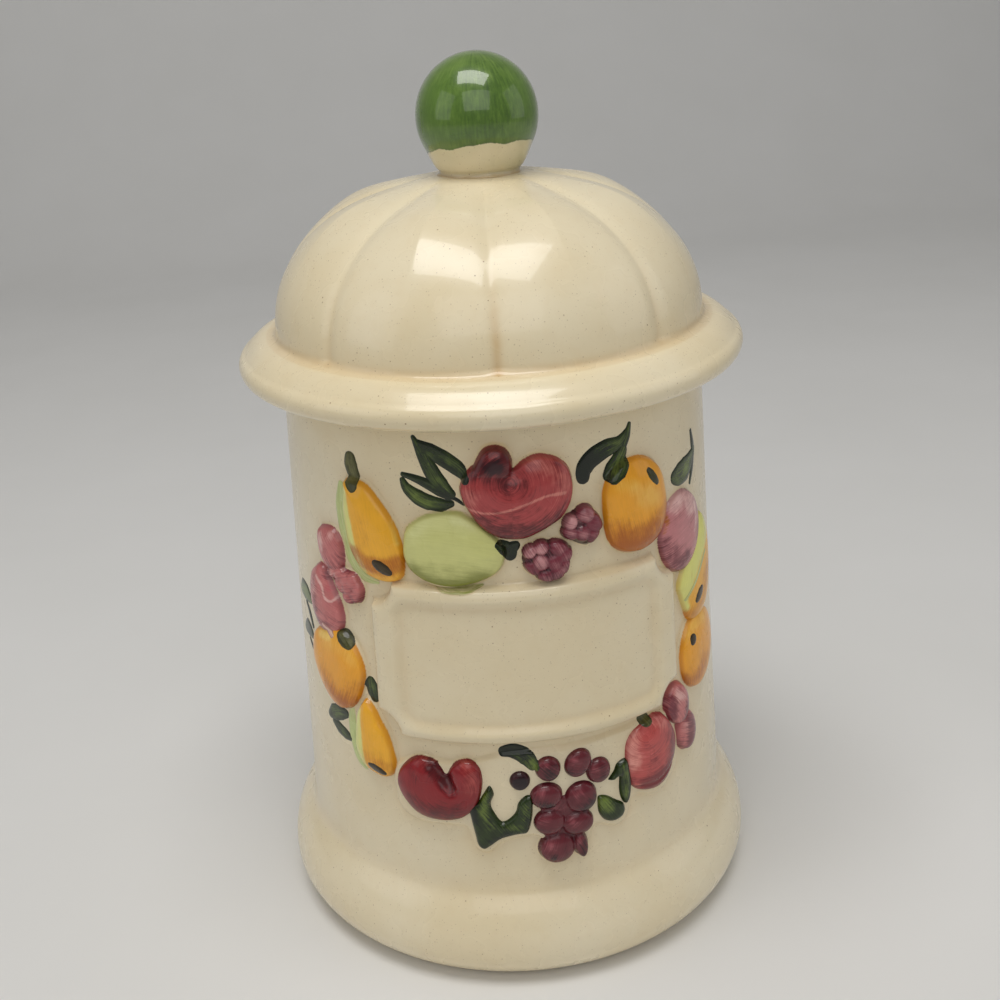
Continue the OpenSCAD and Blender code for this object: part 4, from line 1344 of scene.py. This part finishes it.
# %% A brush stroke
def brush_stroke(name, line, widths, material, dark, light, full, seed):
    """A ribbon of glaze along a line; widths, dark, light and full are given at even steps."""
    at, cx, cz, nx, nz = along_line(line)
    to_end = np.minimum(at, at[-1] - at)

    def at_steps(values):
        return np.interp(at / at[-1], np.linspace(0, 1, len(values)), values)

    half = at_steps(widths) / 2
    ends = np.sqrt(np.clip(1 - (1 - np.clip(to_end / np.maximum(half, 0.3), 0, 1)) ** 2, 0, 1))
    half = np.maximum(half * ends, 0.02)[:, None] + OVERHANG
    v = np.linspace(-1, 1, RIBBON_POINTS)
    x, z = cx[:, None] + nx[:, None] * half * v, cz[:, None] + nz[:, None] * half * v
    inward = np.minimum((1 - np.abs(v)) * half, to_end[:, None] + OVERHANG) - OVERHANG
    # A wash is thinned, so its edge is faint. The green one runs under the fruit, on the wall.
    clay = 0 if material is WASH else ground_height(x, z)
    height = clay + STROKE_T * np.sqrt(np.clip(inward / 0.8, 0, 1)) + STROKE_LIFT
    height = height - EDGE_SINK * (np.abs(v) == 1)
    edge = 0.5 if name.endswith("wash") else 1.0
    cover = np.minimum(np.clip(edge + inward / 0.9, 0, 1.3), at_steps(full)[:, None])
    each = np.ones(RIBBON_POINTS)
    numbers = {
        "dark": at_steps(dark)[:, None] * each, "light": at_steps(light)[:, None] * (1 - v**2),
        "rim": inward / 0.55, "accent": np.zeros(x.shape), "paint": cover,
        "toning": wash_near_relief(x, z),
    }
    stroke = np.stack([half * v, at[:, None] * each, np.full(x.shape, seed)], -1)
    piece = mesh_from(name, on_wall(x, z, height).reshape(-1, 3), grid_quads(*x.shape),
                      numbers, {"stroke": stroke})
    piece.data.materials.append(material)
    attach(piece, "jar")
    return piece


PAINTED = []
FIRST_SEED = 70.0


def paint(rows):
    """Paints strokes of (name, line, widths, glaze, dark, light, full), each with its own seed."""
    for row in rows:
        PAINTED.append(brush_stroke(*row, FIRST_SEED + len(PAINTED)))
    print("strokes so far:", len(PAINTED))


print("a stroke is", STROKE_T + STROKE_LIFT, "mm thick")

# %% [markdown]
# The painter works round the wreath. At the upper left two long leaves and an oval one spring
# from the apple, and a short one fills the corner under it.

# %% Leaves at the upper left
paint([
    ("long_leaf", [(-34.4, 195.6), (-31.6, 190.5), (-29.2, 185.5), (-26, 180.2), (-21.6, 176.2)],
     [0.5, 3.4, 4.6, 5.0, 1.8], LEAF, (0.6, 0.3, 0.2, 0.3), (0, 0.2, 0.5, 0.1), (1, 0.9, 0.9)),
    ("long_leaf_upper", [(-33.4, 193.9), (-28, 190.7), (-23.5, 188), (-20, 185.4), (-16.8, 181.8)],
     [0.8, 4.0, 4.8, 4.4, 2.2], LEAF, (0.6, 0.3, 0.3, 0.8), (0, 0.2, 0.3, 0), (1, 0.9, 1)),
    ("oval_leaf_top", [(-39.2, 183), (-34.5, 181.9), (-30, 180.2), (-26, 178), (-22.3, 176)],
     [0.8, 1.8, 2.8, 3.0, 1.6], LEAF, (0.5, 0.4, 0.5), (0.1, 0.2, 0), (1, 0.85, 0.9)),
    ("oval_leaf_low",
     [(-39, 181.9), (-37.4, 178.6), (-34, 176), (-30, 174.3), (-25.5, 173.8), (-21.8, 174.4)],
     [1.0, 3.2, 4.6, 4.6, 3.6, 1.2], LEAF, (0.5, 0.1, 0.1, 0.4), (0.1, 0.5, 0.5, 0),
     (1, 0.76, 0.9)),
    ("oval_leaf_stem", [(-25, 176.2), (-21.9, 175.9), (-18.4, 173.8)],
     [0.5, 0.6, 0.5], LEAF, (0.8, 0.8), (0, 0), (1, 1)),
    ("under_apple_leaf", [(-9.6, 162), (-7.2, 160.2), (-5.4, 158.2), (-5.2, 155)],
     [1.0, 3.2, 4.2, 2.4], LEAF, (0.5, 0.6), (0.1, 0.1), (1, 1)),
    ("under_apple_tip", [(-2.2, 160.8), (-4, 159.6), (-5.6, 158.4)],
     [1.6, 3.2, 3.4], LEAF, (0.6, 0.6), (0.1, 0.1), (1, 1)),
])

# %% [markdown]
# Pale green is washed down beside two of the pears and a darker one under the lime. Each pear
# and two of the oranges get a dark dot, where a real one has its calyx, or a clove.

# %% Washes, stems and dots
paint([
    ("upper_pear_wash",
     [(-63.8, 177), (-65, 169), (-64, 160), (-61.6, 151), (-56.5, 145.8), (-50, 144.9)],
     [2, 4.6, 4.8, 4.6, 3.4, 1.6], WASH, (0.1, 0.1), (0.2, 0.2), (0.62, 0.6, 0.56)),
    ("upper_pear_stem", [(-58.8, 187.6), (-58.7, 183), (-56.9, 178.8), (-54.6, 176.2)],
     [3.2, 5.2, 4.4, 2.2], STEM, (0.2, 0.1, 0.4), (0.2, 0.6, 0.1), (0.9, 0.7, 0.9)),
    ("upper_pear_calyx", [(-48.9, 154.5), (-45.9, 152.6), (-42.8, 150.4)],
     [1.4, 3.6, 3.4, 1.2], CALYX, (0.2, 0.1), (0.1, 0.3, 0.1), (1, 0.9, 1)),
    ("lower_pear_wash", [(-66.6, 96), (-67.6, 88.8), (-67, 81.3), (-65, 75), (-61.4, 72)],
     [1.6, 4, 4.4, 4, 1.6], WASH, (0.2, 0.1), (0.2, 0.2), (0.62, 0.64, 0.56)),
    ("lower_pear_calyx", [(-57.4, 77.9), (-53.9, 77.1), (-50.8, 75.4)],
     [1.0, 3.0, 2.8, 1.0], CALYX, (0.4, 0.3), (0, 0.2, 0), (1, 1)),
    ("right_pear_calyx", [(70, 126), (67.5, 123.8), (65, 121.6)],
     [1.2, 3.4, 3.2, 1.2], CALYX, (0.2, 0.2), (0.1, 0.3, 0.1), (1, 0.9, 1)),
    ("right_orange_dot", [(62.5, 110.8), (62.6, 108.6), (61.8, 106.8)],
     [1.2, 2.7, 2.5, 1.2], CALYX, (0.2, 0.3), (0.1, 0.3, 0.1), (1, 0.9, 1)),
    ("top_orange_clove", [(41.2, 177.8), (42.9, 175.2), (45.2, 171.8)],
     [1.0, 2.5, 2.3, 1.0], STEM, (0.6, 0.5), (0, 0.2, 0), (1, 0.9, 1)),
    ("lime_wash", [(-32.4, 148.7), (-27, 147), (-20.4, 146.5), (-14, 147.6)],
     [0.6, 1.9, 2.0, 0.6], LIME, (0.6, 0.8), (0, 0), (0.5, 0.56)),
])

# %% [markdown]
# At the upper right one bold leaf curls over the orange and another points away from the plum.

# %% Leaves at the upper right
paint([
    # The light near the top of the curved leaf's strokes is a painted highlight.
    ("curved_leaf",
     [(38.4, 191.4), (34, 187.4), (28, 186.2), (22.5, 183.8), (20, 180.5), (20, 176.6)],
     [0.8, 3.4, 5.2, 5.8, 5.4, 3.2], LEAF, (0.1, 0.1, 0.6, 1.0, 1.0), (0.4, 0.5, 0.1, 0, 0),
     (0.72, 0.85, 1, 1)),
    ("curved_leaf_tip", [(38.4, 192.8), (36.8, 188.6), (34.6, 185)],
     [0.6, 2.4, 2.8], LEAF, (0.2, 0.3), (0.4, 0.3), (0.75, 1)),
    ("curved_leaf_inner", [(35.8, 186), (33, 181.8), (29.4, 178), (28.2, 175.6)],
     [2.4, 4.8, 5.4, 2.8], LEAF, (0.2, 0.2, 0.6), (0.5, 0.4, 0), (0.9, 1)),
    ("plum_leaf", [(57.2, 168.4), (62, 168.2), (67.5, 168.8), (73.4, 171.6), (75.8, 174.2)],
     [3, 7.4, 8.2, 5, 1.6], LEAF, (0.2, 0.0, 0.2), (0.5, 0.7, 0.3), (0.9, 0.85, 1)),
    ("plum_leaf_tip_up", [(73, 180.6), (74.4, 174.5), (74.3, 170)],
     [0.8, 2.4, 2.4], LEAF, (0.7, 0.3), (0, 0.3), (1, 1)),
    ("plum_leaf_tip_down", [(74.6, 172), (72.8, 167), (70.2, 162)],
     [2.2, 2.4, 0.8], LEAF, (0.5, 0.3), (0, 0.3), (1, 1)),
])

# %% [markdown]
# Last come the stems and small leaves at both sides, a pale line along the right pear's edge, and
# the dark leaf over the grapes.

# %% Stems and small leaves
paint([
    ("left_orange_stem", [(-68.8, 123.2), (-65.8, 121.6), (-62.6, 118.8)],
     [1.6, 4.0, 3.8, 1.4], STEM, (0.5, 0.4), (0.1, 0.3, 0.1), (1, 0.95, 1)),
    ("left_orange_drip", [(-76, 124), (-73.4, 122.8), (-70.4, 120.8)],
     [1.6, 2.6, 1.0], PLUM, (0, 0), (0.9, 0.9), (0.6, 0.5)),
    ("lower_pear_leaf", [(-57, 109.4), (-56.5, 105), (-55.2, 100.2)],
     [2.0, 5.0, 4.8, 2.0], LEAF, (0.3, 0.2, 0.5), (0.2, 0.3, 0), (1, 1)),
    ("right_pear_rim", [(73.4, 138), (66.6, 131.2), (62.4, 127.6), (59.4, 124.4)],
     [0.5, 0.8, 0.8, 0.5], LIME, (0, 0), (1, 1), (0.8, 0.8)),
    ("right_apple_stem", [(36.4, 91.6), (37.6, 89.2), (38.4, 87)],
     [2.4, 4.2, 4.0, 2.6], STEM, (0.2, 0.3, 0.5), (0.2, 0.1), (1, 1)),
    ("far_left_leaf_top", [(-104.6, 124.4), (-97.5, 127), (-89.6, 125.4)],
     [2, 7, 6.6, 2], LEAF, (0.1, 0.1), (0.8, 0.7), (0.74, 0.8)),
    ("far_left_link", [(-97, 123.4), (-93.5, 119.8), (-90.6, 114.8)],
     [1.2, 2.4, 1.4], LEAF, (0.6, 0.5), (0, 0.1), (1, 1)),
    ("far_left_leaf_low", [(-102, 110.4), (-96, 112.6), (-91.4, 111)],
     [2.4, 6.6, 2.8], LEAF, (0.4, 0.4), (0.2, 0.2), (1, 1)),
    ("far_left_stem", [(-96.4, 109.2), (-93.4, 106.7), (-90.4, 104.2)],
     [1.0, 1.4, 1.0], CALYX, (0.3, 0.3), (0.2, 0.2), (1, 1)),
    ("small_leaf_top", [(-82.8, 84.6), (-76.4, 88.4), (-69.4, 90.6)],
     [1.6, 6.0, 5.4, 2.0], LEAF, (0.3, 0.1, 0.4), (0.2, 0.5, 0.1), (1, 0.9, 1)),
    ("small_leaf_low", [(-80.2, 84), (-74.4, 82.2), (-67.8, 81)],
     [1.4, 4.6, 4.2, 1.4], LEAF, (0.4, 0.3, 0.4), (0.1, 0.3, 0), (1, 0.9, 1)),
    ("grape_leaf_stroke", [(-12.8, 88.2), (-8.2, 88.5), (-4, 85.9), (-1.2, 81.2)],
     [2.2, 4.6, 5.2, 2.6], LEAF, (0.9, 0.6, 0.1), (0, 0.2, 0.8), (1, 1)),
])

# %% [markdown]
# ## The lid
# The lid is a melon dome on a broad rolled brim. Eight narrow grooves run down the dome and
# fade near the knob, and the panels between them swell a little. It is a lathe form whose
# radius also depends on the angle. Under it a ring locates it in the jar's mouth.

# %% The lid's outline
BRIM_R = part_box("lid")[1].x / MM
VALLEY_Z, DOME_R, DOME_H, FULL = RIM_Z + 13.5, 72.5, 48.5, 2.2
HOLLOW_R, HOLLOW_H, HOLLOW_TOP_R, KNOB_SEAT_R = 67.0, 43.0, 7.0, 13.0
RING_R, RING_INNER_R, RING_H, BRIM_ROLL = 65.8, 61.8, 8, 4.3
BRIM_SWELL, VALLEY_SOFT, OUTSIDE_SHARE = 1.5, 3.0, 0.62


def dome_line(radius, height, end_radius, steps, crowding=1.0):
    """A full dome's outline from its edge up to a small radius near the axis."""
    t_end = math.acos((end_radius / radius) ** (FULL / 2))
    turns = [t_end * (i / steps) ** crowding for i in range(steps + 1)]
    return [(radius * math.cos(t) ** (2 / FULL), VALLEY_Z + height * math.sin(t) ** (2 / FULL))
            for t in turns]


def brim_top(start, end):
    """The brim's upper side: a straight that swells a little between two points."""
    line = []
    for f in np.linspace(0.05, 0.95, 18):
        swelling = BRIM_SWELL * math.sin(math.pi * f**0.85) ** 1.1
        line.append((start[0] + (end[0] - start[0]) * f,
                     start[1] + (end[1] - start[1]) * f + swelling))
    return line


dome_side = dome_line(DOME_R, DOME_H, KNOB_SEAT_R, 60, 1.25)
hollow = dome_line(HOLLOW_R, HOLLOW_H, HOLLOW_TOP_R, 40)[::-1]
seat_z = dome_side[-1][1] + 0.2
outline = [(RING_INNER_R, RIM_Z - RING_H), (RING_R, RIM_Z - RING_H)]
outline += [(RING_R, RIM_Z - 0.8), (66.6, RIM_Z)]
outline += arc(BRIM_R - BRIM_ROLL, RIM_Z + BRIM_ROLL, BRIM_ROLL, -90, 62, 24)
outline += brim_top(outline[-1], dome_side[0]) + dome_side[1:]
outline += [(6.0, seat_z), (0.0, seat_z), (0.0, hollow[0][1])] + hollow
outline += [(66.0, VALLEY_Z - 5), (RING_INNER_R, RIM_Z + 3)]
lid_outline = resample(outline, 0.9)

from_valley = ((lid_outline[:, 0] - DOME_R) / VALLEY_SOFT) ** 2
from_valley = from_valley + ((lid_outline[:, 1] - VALLEY_Z) / VALLEY_SOFT) ** 2
on_outside = np.arange(len(lid_outline)) < len(lid_outline) * OUTSIDE_SHARE
ease(lid_outline, np.exp(-from_valley) * on_outside, 6)
print("lid outline:", len(lid_outline), "points; brim radius", round(BRIM_R, 1), "mm")

# %% [markdown]
# Cutting eight grooves into a dome would leave sharp edges and panels that don't swell. So the
# melon shape is made by moving the points of the plain round. A groove is a narrow press in the
# middle of a wide soft one, and a panel swells most halfway between two grooves and halfway up
# the dome. The wash gathers in the grooves and in the valley where the dome meets the brim, and
# the front groove is made darker than the others.

# %% Melon dome
LOBES, LOBE_TURN, SWELL, LID_TURNS = 8, math.radians(-4.3), 1.9, 720
OUTER_SKIN = 2.6  # what lies further in belongs to the hollow and stays round


def from_groove(a):
    """The angle to the nearest groove, in radians, with its sign."""
    turn = 2 * np.pi / LOBES
    return (a - LOBE_TURN + turn / 2) % turn - turn / 2


def melon(r, z, a):
    """Grooves and swelling panels on the dome's outside, then the pot's unroundness."""
    up = np.clip(z - VALLEY_Z, 0, 99)
    beyond = (r / (DOME_R - OUTER_SKIN)) ** FULL + (up / (DOME_H - OUTER_SKIN)) ** FULL > 1
    outside = (z > VALLEY_Z - 0.3) & (r > 10) & beyond
    off = np.abs(from_groove(a))
    to_middle = np.clip(off / (np.pi / LOBES), 0, 1)
    fade = smooth(14, 34, r) * smooth(VALLEY_Z - 0.3, VALLEY_Z + 2.0, z)
    narrow = 0.5 * np.exp(-((off * np.maximum(r, 1) / 2.8) ** 2))
    drop = (narrow + 0.75 * (1 - to_middle) ** 2.6) * fade * outside
    slope = np.clip((z - VALLEY_Z) / DOME_H, 0, 1)
    swell = SWELL * to_middle * np.exp(-(((r - 47) / 15) ** 2)) * outside
    out = r - drop * (1 - 0.6 * slope) + swell * 0.6
    return wobble(out, z - drop * 0.8 * slope + swell * 0.8, a)


def lid_toning(r, z, a):
    """The wash in the grooves and in the valley round the dome."""
    from_front = (a - LOBE_TURN + np.pi) % (2 * np.pi) - np.pi
    front_groove = 0.28 + 0.72 * np.exp(-(from_front / 0.2) ** 2)
    groove = 0.55 * np.exp(-((from_groove(a) * r / 1.5) ** 2))
    groove = groove * smooth(VALLEY_Z + 32, VALLEY_Z + 8, z) * ((z > VALLEY_Z) & (r > 12))
    groove = groove * smooth(14, 34, r) * front_groove
    valley = 0.42 * np.exp(-(((z - VALLEY_Z - 0.6) / 1.4) ** 2)) * (np.abs(r - DOME_R) < 3.0)
    return np.clip(groove + valley * (z > VALLEY_Z - 2), 0, 1)


points, r, z, a = lathe_points(lid_outline, LID_TURNS, melon)
quads = grid_quads(*r.shape, wrap=True)
lid = mesh_from("lid_glazed", points.reshape(-1, 3), quads, {"toning": lid_toning(r, z, a)})
lid.data.materials.append(CREAM)
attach(lid, "lid")
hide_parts("lid")
print("lid:", len(lid.data.vertices), "points")

# %% [markdown]
# ## The knob
# The ball was stuck to the dome with slip, which shows as a soft uneven bead at its foot. Its
# upper part is dipped in green, with a wavy lower edge, and the rest keeps the cream glaze. A
# ball on a cone would meet it in a hard ring, so ball, neck and bead are one turned outline, and
# the dip is a painting number that steps up over a wavy height.

# %% Knob
low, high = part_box("knob")
BALL_R, TOP_Z, KNOB_Z = 20.0, high.z / MM, low.z / MM
BALL_Z = TOP_Z - BALL_R
KNOB_TURNS, DIP_DEPTH, DIP_SOFT = 200, 7.1, 1.2
# The knob's cream is given darker and greener than the jar's: a painted shade under the ball.
GREEN = glaze("knob_green", (88, 120, 42), (56, 86, 28), (132, 156, 76), (60, 90, 40),
              streaks=0.9, cream=(180, 176, 132), coat=1.0)
outline = [(0.0, KNOB_Z - 0.4), (13.4, KNOB_Z - 0.4), (13.9, KNOB_Z), (13.5, KNOB_Z + 0.7),
           (13.35, KNOB_Z + 1.3)]
outline += [(12.8 + 4.5 * f + 0.35 * math.sin(math.pi * f), KNOB_Z + 8 * f)
            for f in (0.3, 0.5, 0.7, 0.85)]
outline += [(BALL_R * math.cos(t), BALL_Z + BALL_R * math.sin(t))
            for t in np.linspace(math.radians(-29), math.radians(90), 90)]
knob_outline = resample(outline, 0.7)


def hand_set(r, z, a):
    """The slip bead at the knob's foot is uneven."""
    bead = np.exp(-((z - KNOB_Z) / 0.9) ** 2) * (r > 8)
    return r + bead * (0.35 * np.sin(3 * a + 1) + 0.25 * np.sin(7 * a)), z


points, r, z, a = lathe_points(knob_outline, KNOB_TURNS, hand_set)
edge = BALL_Z - DIP_DEPTH - 3.0 * (1 - np.cos(a)) + 0.8 * np.sin(a)
edge = edge + 0.3 * np.sin(a * 7 + 2) + 0.2 * np.sin(a * 13)
# The light number rises towards the top of the ball: a painted light on the green.
numbers = {
    "paint": 0.5 + (z - edge) / DIP_SOFT, "rim": np.clip((z - edge) / DIP_SOFT, 0, 2),
    "accent": np.zeros(r.shape), "dark": 0.22 + 0.18 * np.sin(a * 3 + 1.4),
    "light": 0.2 + 0.15 * smooth(6, 18, z - BALL_Z),
    "toning": 0.7 * smooth(KNOB_Z + 1.6, KNOB_Z, z),
}
stroke = np.stack([a * 9.0, (z - BALL_Z) * 1.6, np.full(r.shape, 90.0)], -1)
quads = grid_quads(*r.shape, wrap=True)
knob = mesh_from("knob_glazed", points.reshape(-1, 3), quads, numbers, {"stroke": stroke})
knob.data.materials.append(GREEN)
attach(knob, "lid")
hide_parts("knob")
print("knob: ball radius", BALL_R, "mm, top at", round(TOP_Z, 1), "mm")

# %% [markdown]
# ## Floor, light and camera
# The jar stands on a pale sheet of paper that curves up into the backdrop, so that the glaze has
# something even to reflect. The sheet is a strip of an outline in metres, drawn across.

# %% Floor and backdrop
FRONT_Y, BEND_Y, BACK_Y, BACK_Z, BEND_R, HALF_WIDTH = -1.6, 1.1, 1.6, 2.2, 0.5, 2.4


def sweep():
    """A pale floor that curves up behind the jar."""
    bend = [(BEND_Y + BEND_R * math.sin(t), BEND_R - BEND_R * math.cos(t))
            for t in np.linspace(0.1, math.pi / 2, 14)]
    line = np.array([(FRONT_Y, 0.0), (BEND_Y, 0.0)] + bend + [(BACK_Y, BACK_Z)])
    across = np.linspace(-HALF_WIDTH, HALF_WIDTH, 9)
    y, x = np.meshgrid(line[:, 0], across, indexing="ij")
    z = np.meshgrid(line[:, 1], across, indexing="ij")[0]
    return np.stack([x, y, z], -1).reshape(-1, 3) / MM, grid_quads(len(line), len(across))


floor = mesh_from("floor", *sweep())
paper = bpy.data.materials.new("pale_paper")
paper.use_nodes = True
tree = paper.node_tree
shader = tree.nodes["Principled BSDF"]
shader.inputs["Roughness"].default_value = 0.7
shader.inputs["Specular IOR Level"].default_value = 0.2
mottle = noise(tree, place_in(tree), 8.0, 3.0)
pale = blend_colour(tree, mottle, colour(226, 225, 222), colour(233, 232, 230))
tree.links.new(pale, shader.inputs["Base Color"])
floor.data.materials.append(paper)
print("floor and backdrop: one sheet")

# %% [markdown]
# The light is soft daylight from a wide source high above, a little in front of the jar. A small
# lamp would show in the glaze as a hard white dot, and a wide one as a window. Three weak and
# wide fills, in front and at both sides, keep the shade from going black, and a faint grey
# surround fills the rest.

# %% Lights
def soft_box(name, size, power, place, target, tint=(1.0, 1.0, 1.0)):
    """A rectangular soft light that looks at a point."""
    lamp = bpy.data.lights.new(name, "AREA")
    lamp.shape, lamp.size, lamp.size_y = "RECTANGLE", size[0], size[1]
    lamp.energy, lamp.color = power, tint
    holder = bpy.data.objects.new(name, lamp)
    holder.location = place
    look = Vector(target) - Vector(place)
    holder.rotation_euler = look.to_track_quat("-Z", "Y").to_euler()
    bpy.context.scene.collection.objects.link(holder)


soft_box("window", (1.0, 0.6), 10.4, (-0.1, -0.26, 1.48), (0, 0, 0.18), (1.0, 0.985, 0.96))
soft_box("front_fill", (1.2, 0.9), 3.5, (-0.1, -1.15, 1.0), (0, 0, 0.16))
soft_box("left_fill", (0.8, 1.0), 1.5, (-1.2, -0.4, 0.7), (0, 0, 0.15))
soft_box("right_fill", (0.8, 1.0), 1.2, (1.2, -0.3, 0.6), (0, 0, 0.15))
world = bpy.data.worlds.new("studio")
bpy.context.scene.world = world
world.use_nodes = True
surround = world.node_tree.nodes["Background"]
surround.inputs["Color"].default_value = (0.86, 0.87, 0.88, 1)
surround.inputs["Strength"].default_value = 0.23
bpy.context.scene.view_settings.view_transform = "Standard"

# %% [markdown]
# The camera looks down at the jar from a little left of its front, from just above the height of
# its knob, and is held with a slight tilt. Its place is worked out from the axis of the jar.

# %% Camera
PITCH, ROLL, SIDE = math.radians(22.44), 0.0602, math.radians(5.65)
DISTANCE, EYE_Z, LENS, SENSOR = 0.4364, 0.3252, 46.8, 36.0
forward = Vector(
    (math.sin(SIDE) * math.cos(PITCH), math.cos(SIDE) * math.cos(PITCH), -math.sin(PITCH)))
right = Vector((math.cos(SIDE), -math.sin(SIDE), 0.0))
down = forward.cross(right)
x_axis = right * math.cos(ROLL) + down * math.sin(ROLL)
y_axis = -(-right * math.sin(ROLL) + down * math.cos(ROLL))
lens = bpy.data.cameras.new("camera")
lens.lens, lens.sensor_width, lens.sensor_fit = LENS, SENSOR, "HORIZONTAL"
camera = bpy.data.objects.new("camera", lens)
turn_to = Matrix((x_axis, y_axis, -forward)).transposed().to_4x4()
eye = Vector((-DISTANCE * math.sin(SIDE), -DISTANCE * math.cos(SIDE), EYE_Z))
camera.matrix_world = Matrix.Translation(eye) @ turn_to
bpy.context.scene.collection.objects.link(camera)
bpy.context.scene.camera = camera
print("camera at", [round(v, 4) for v in camera.location])
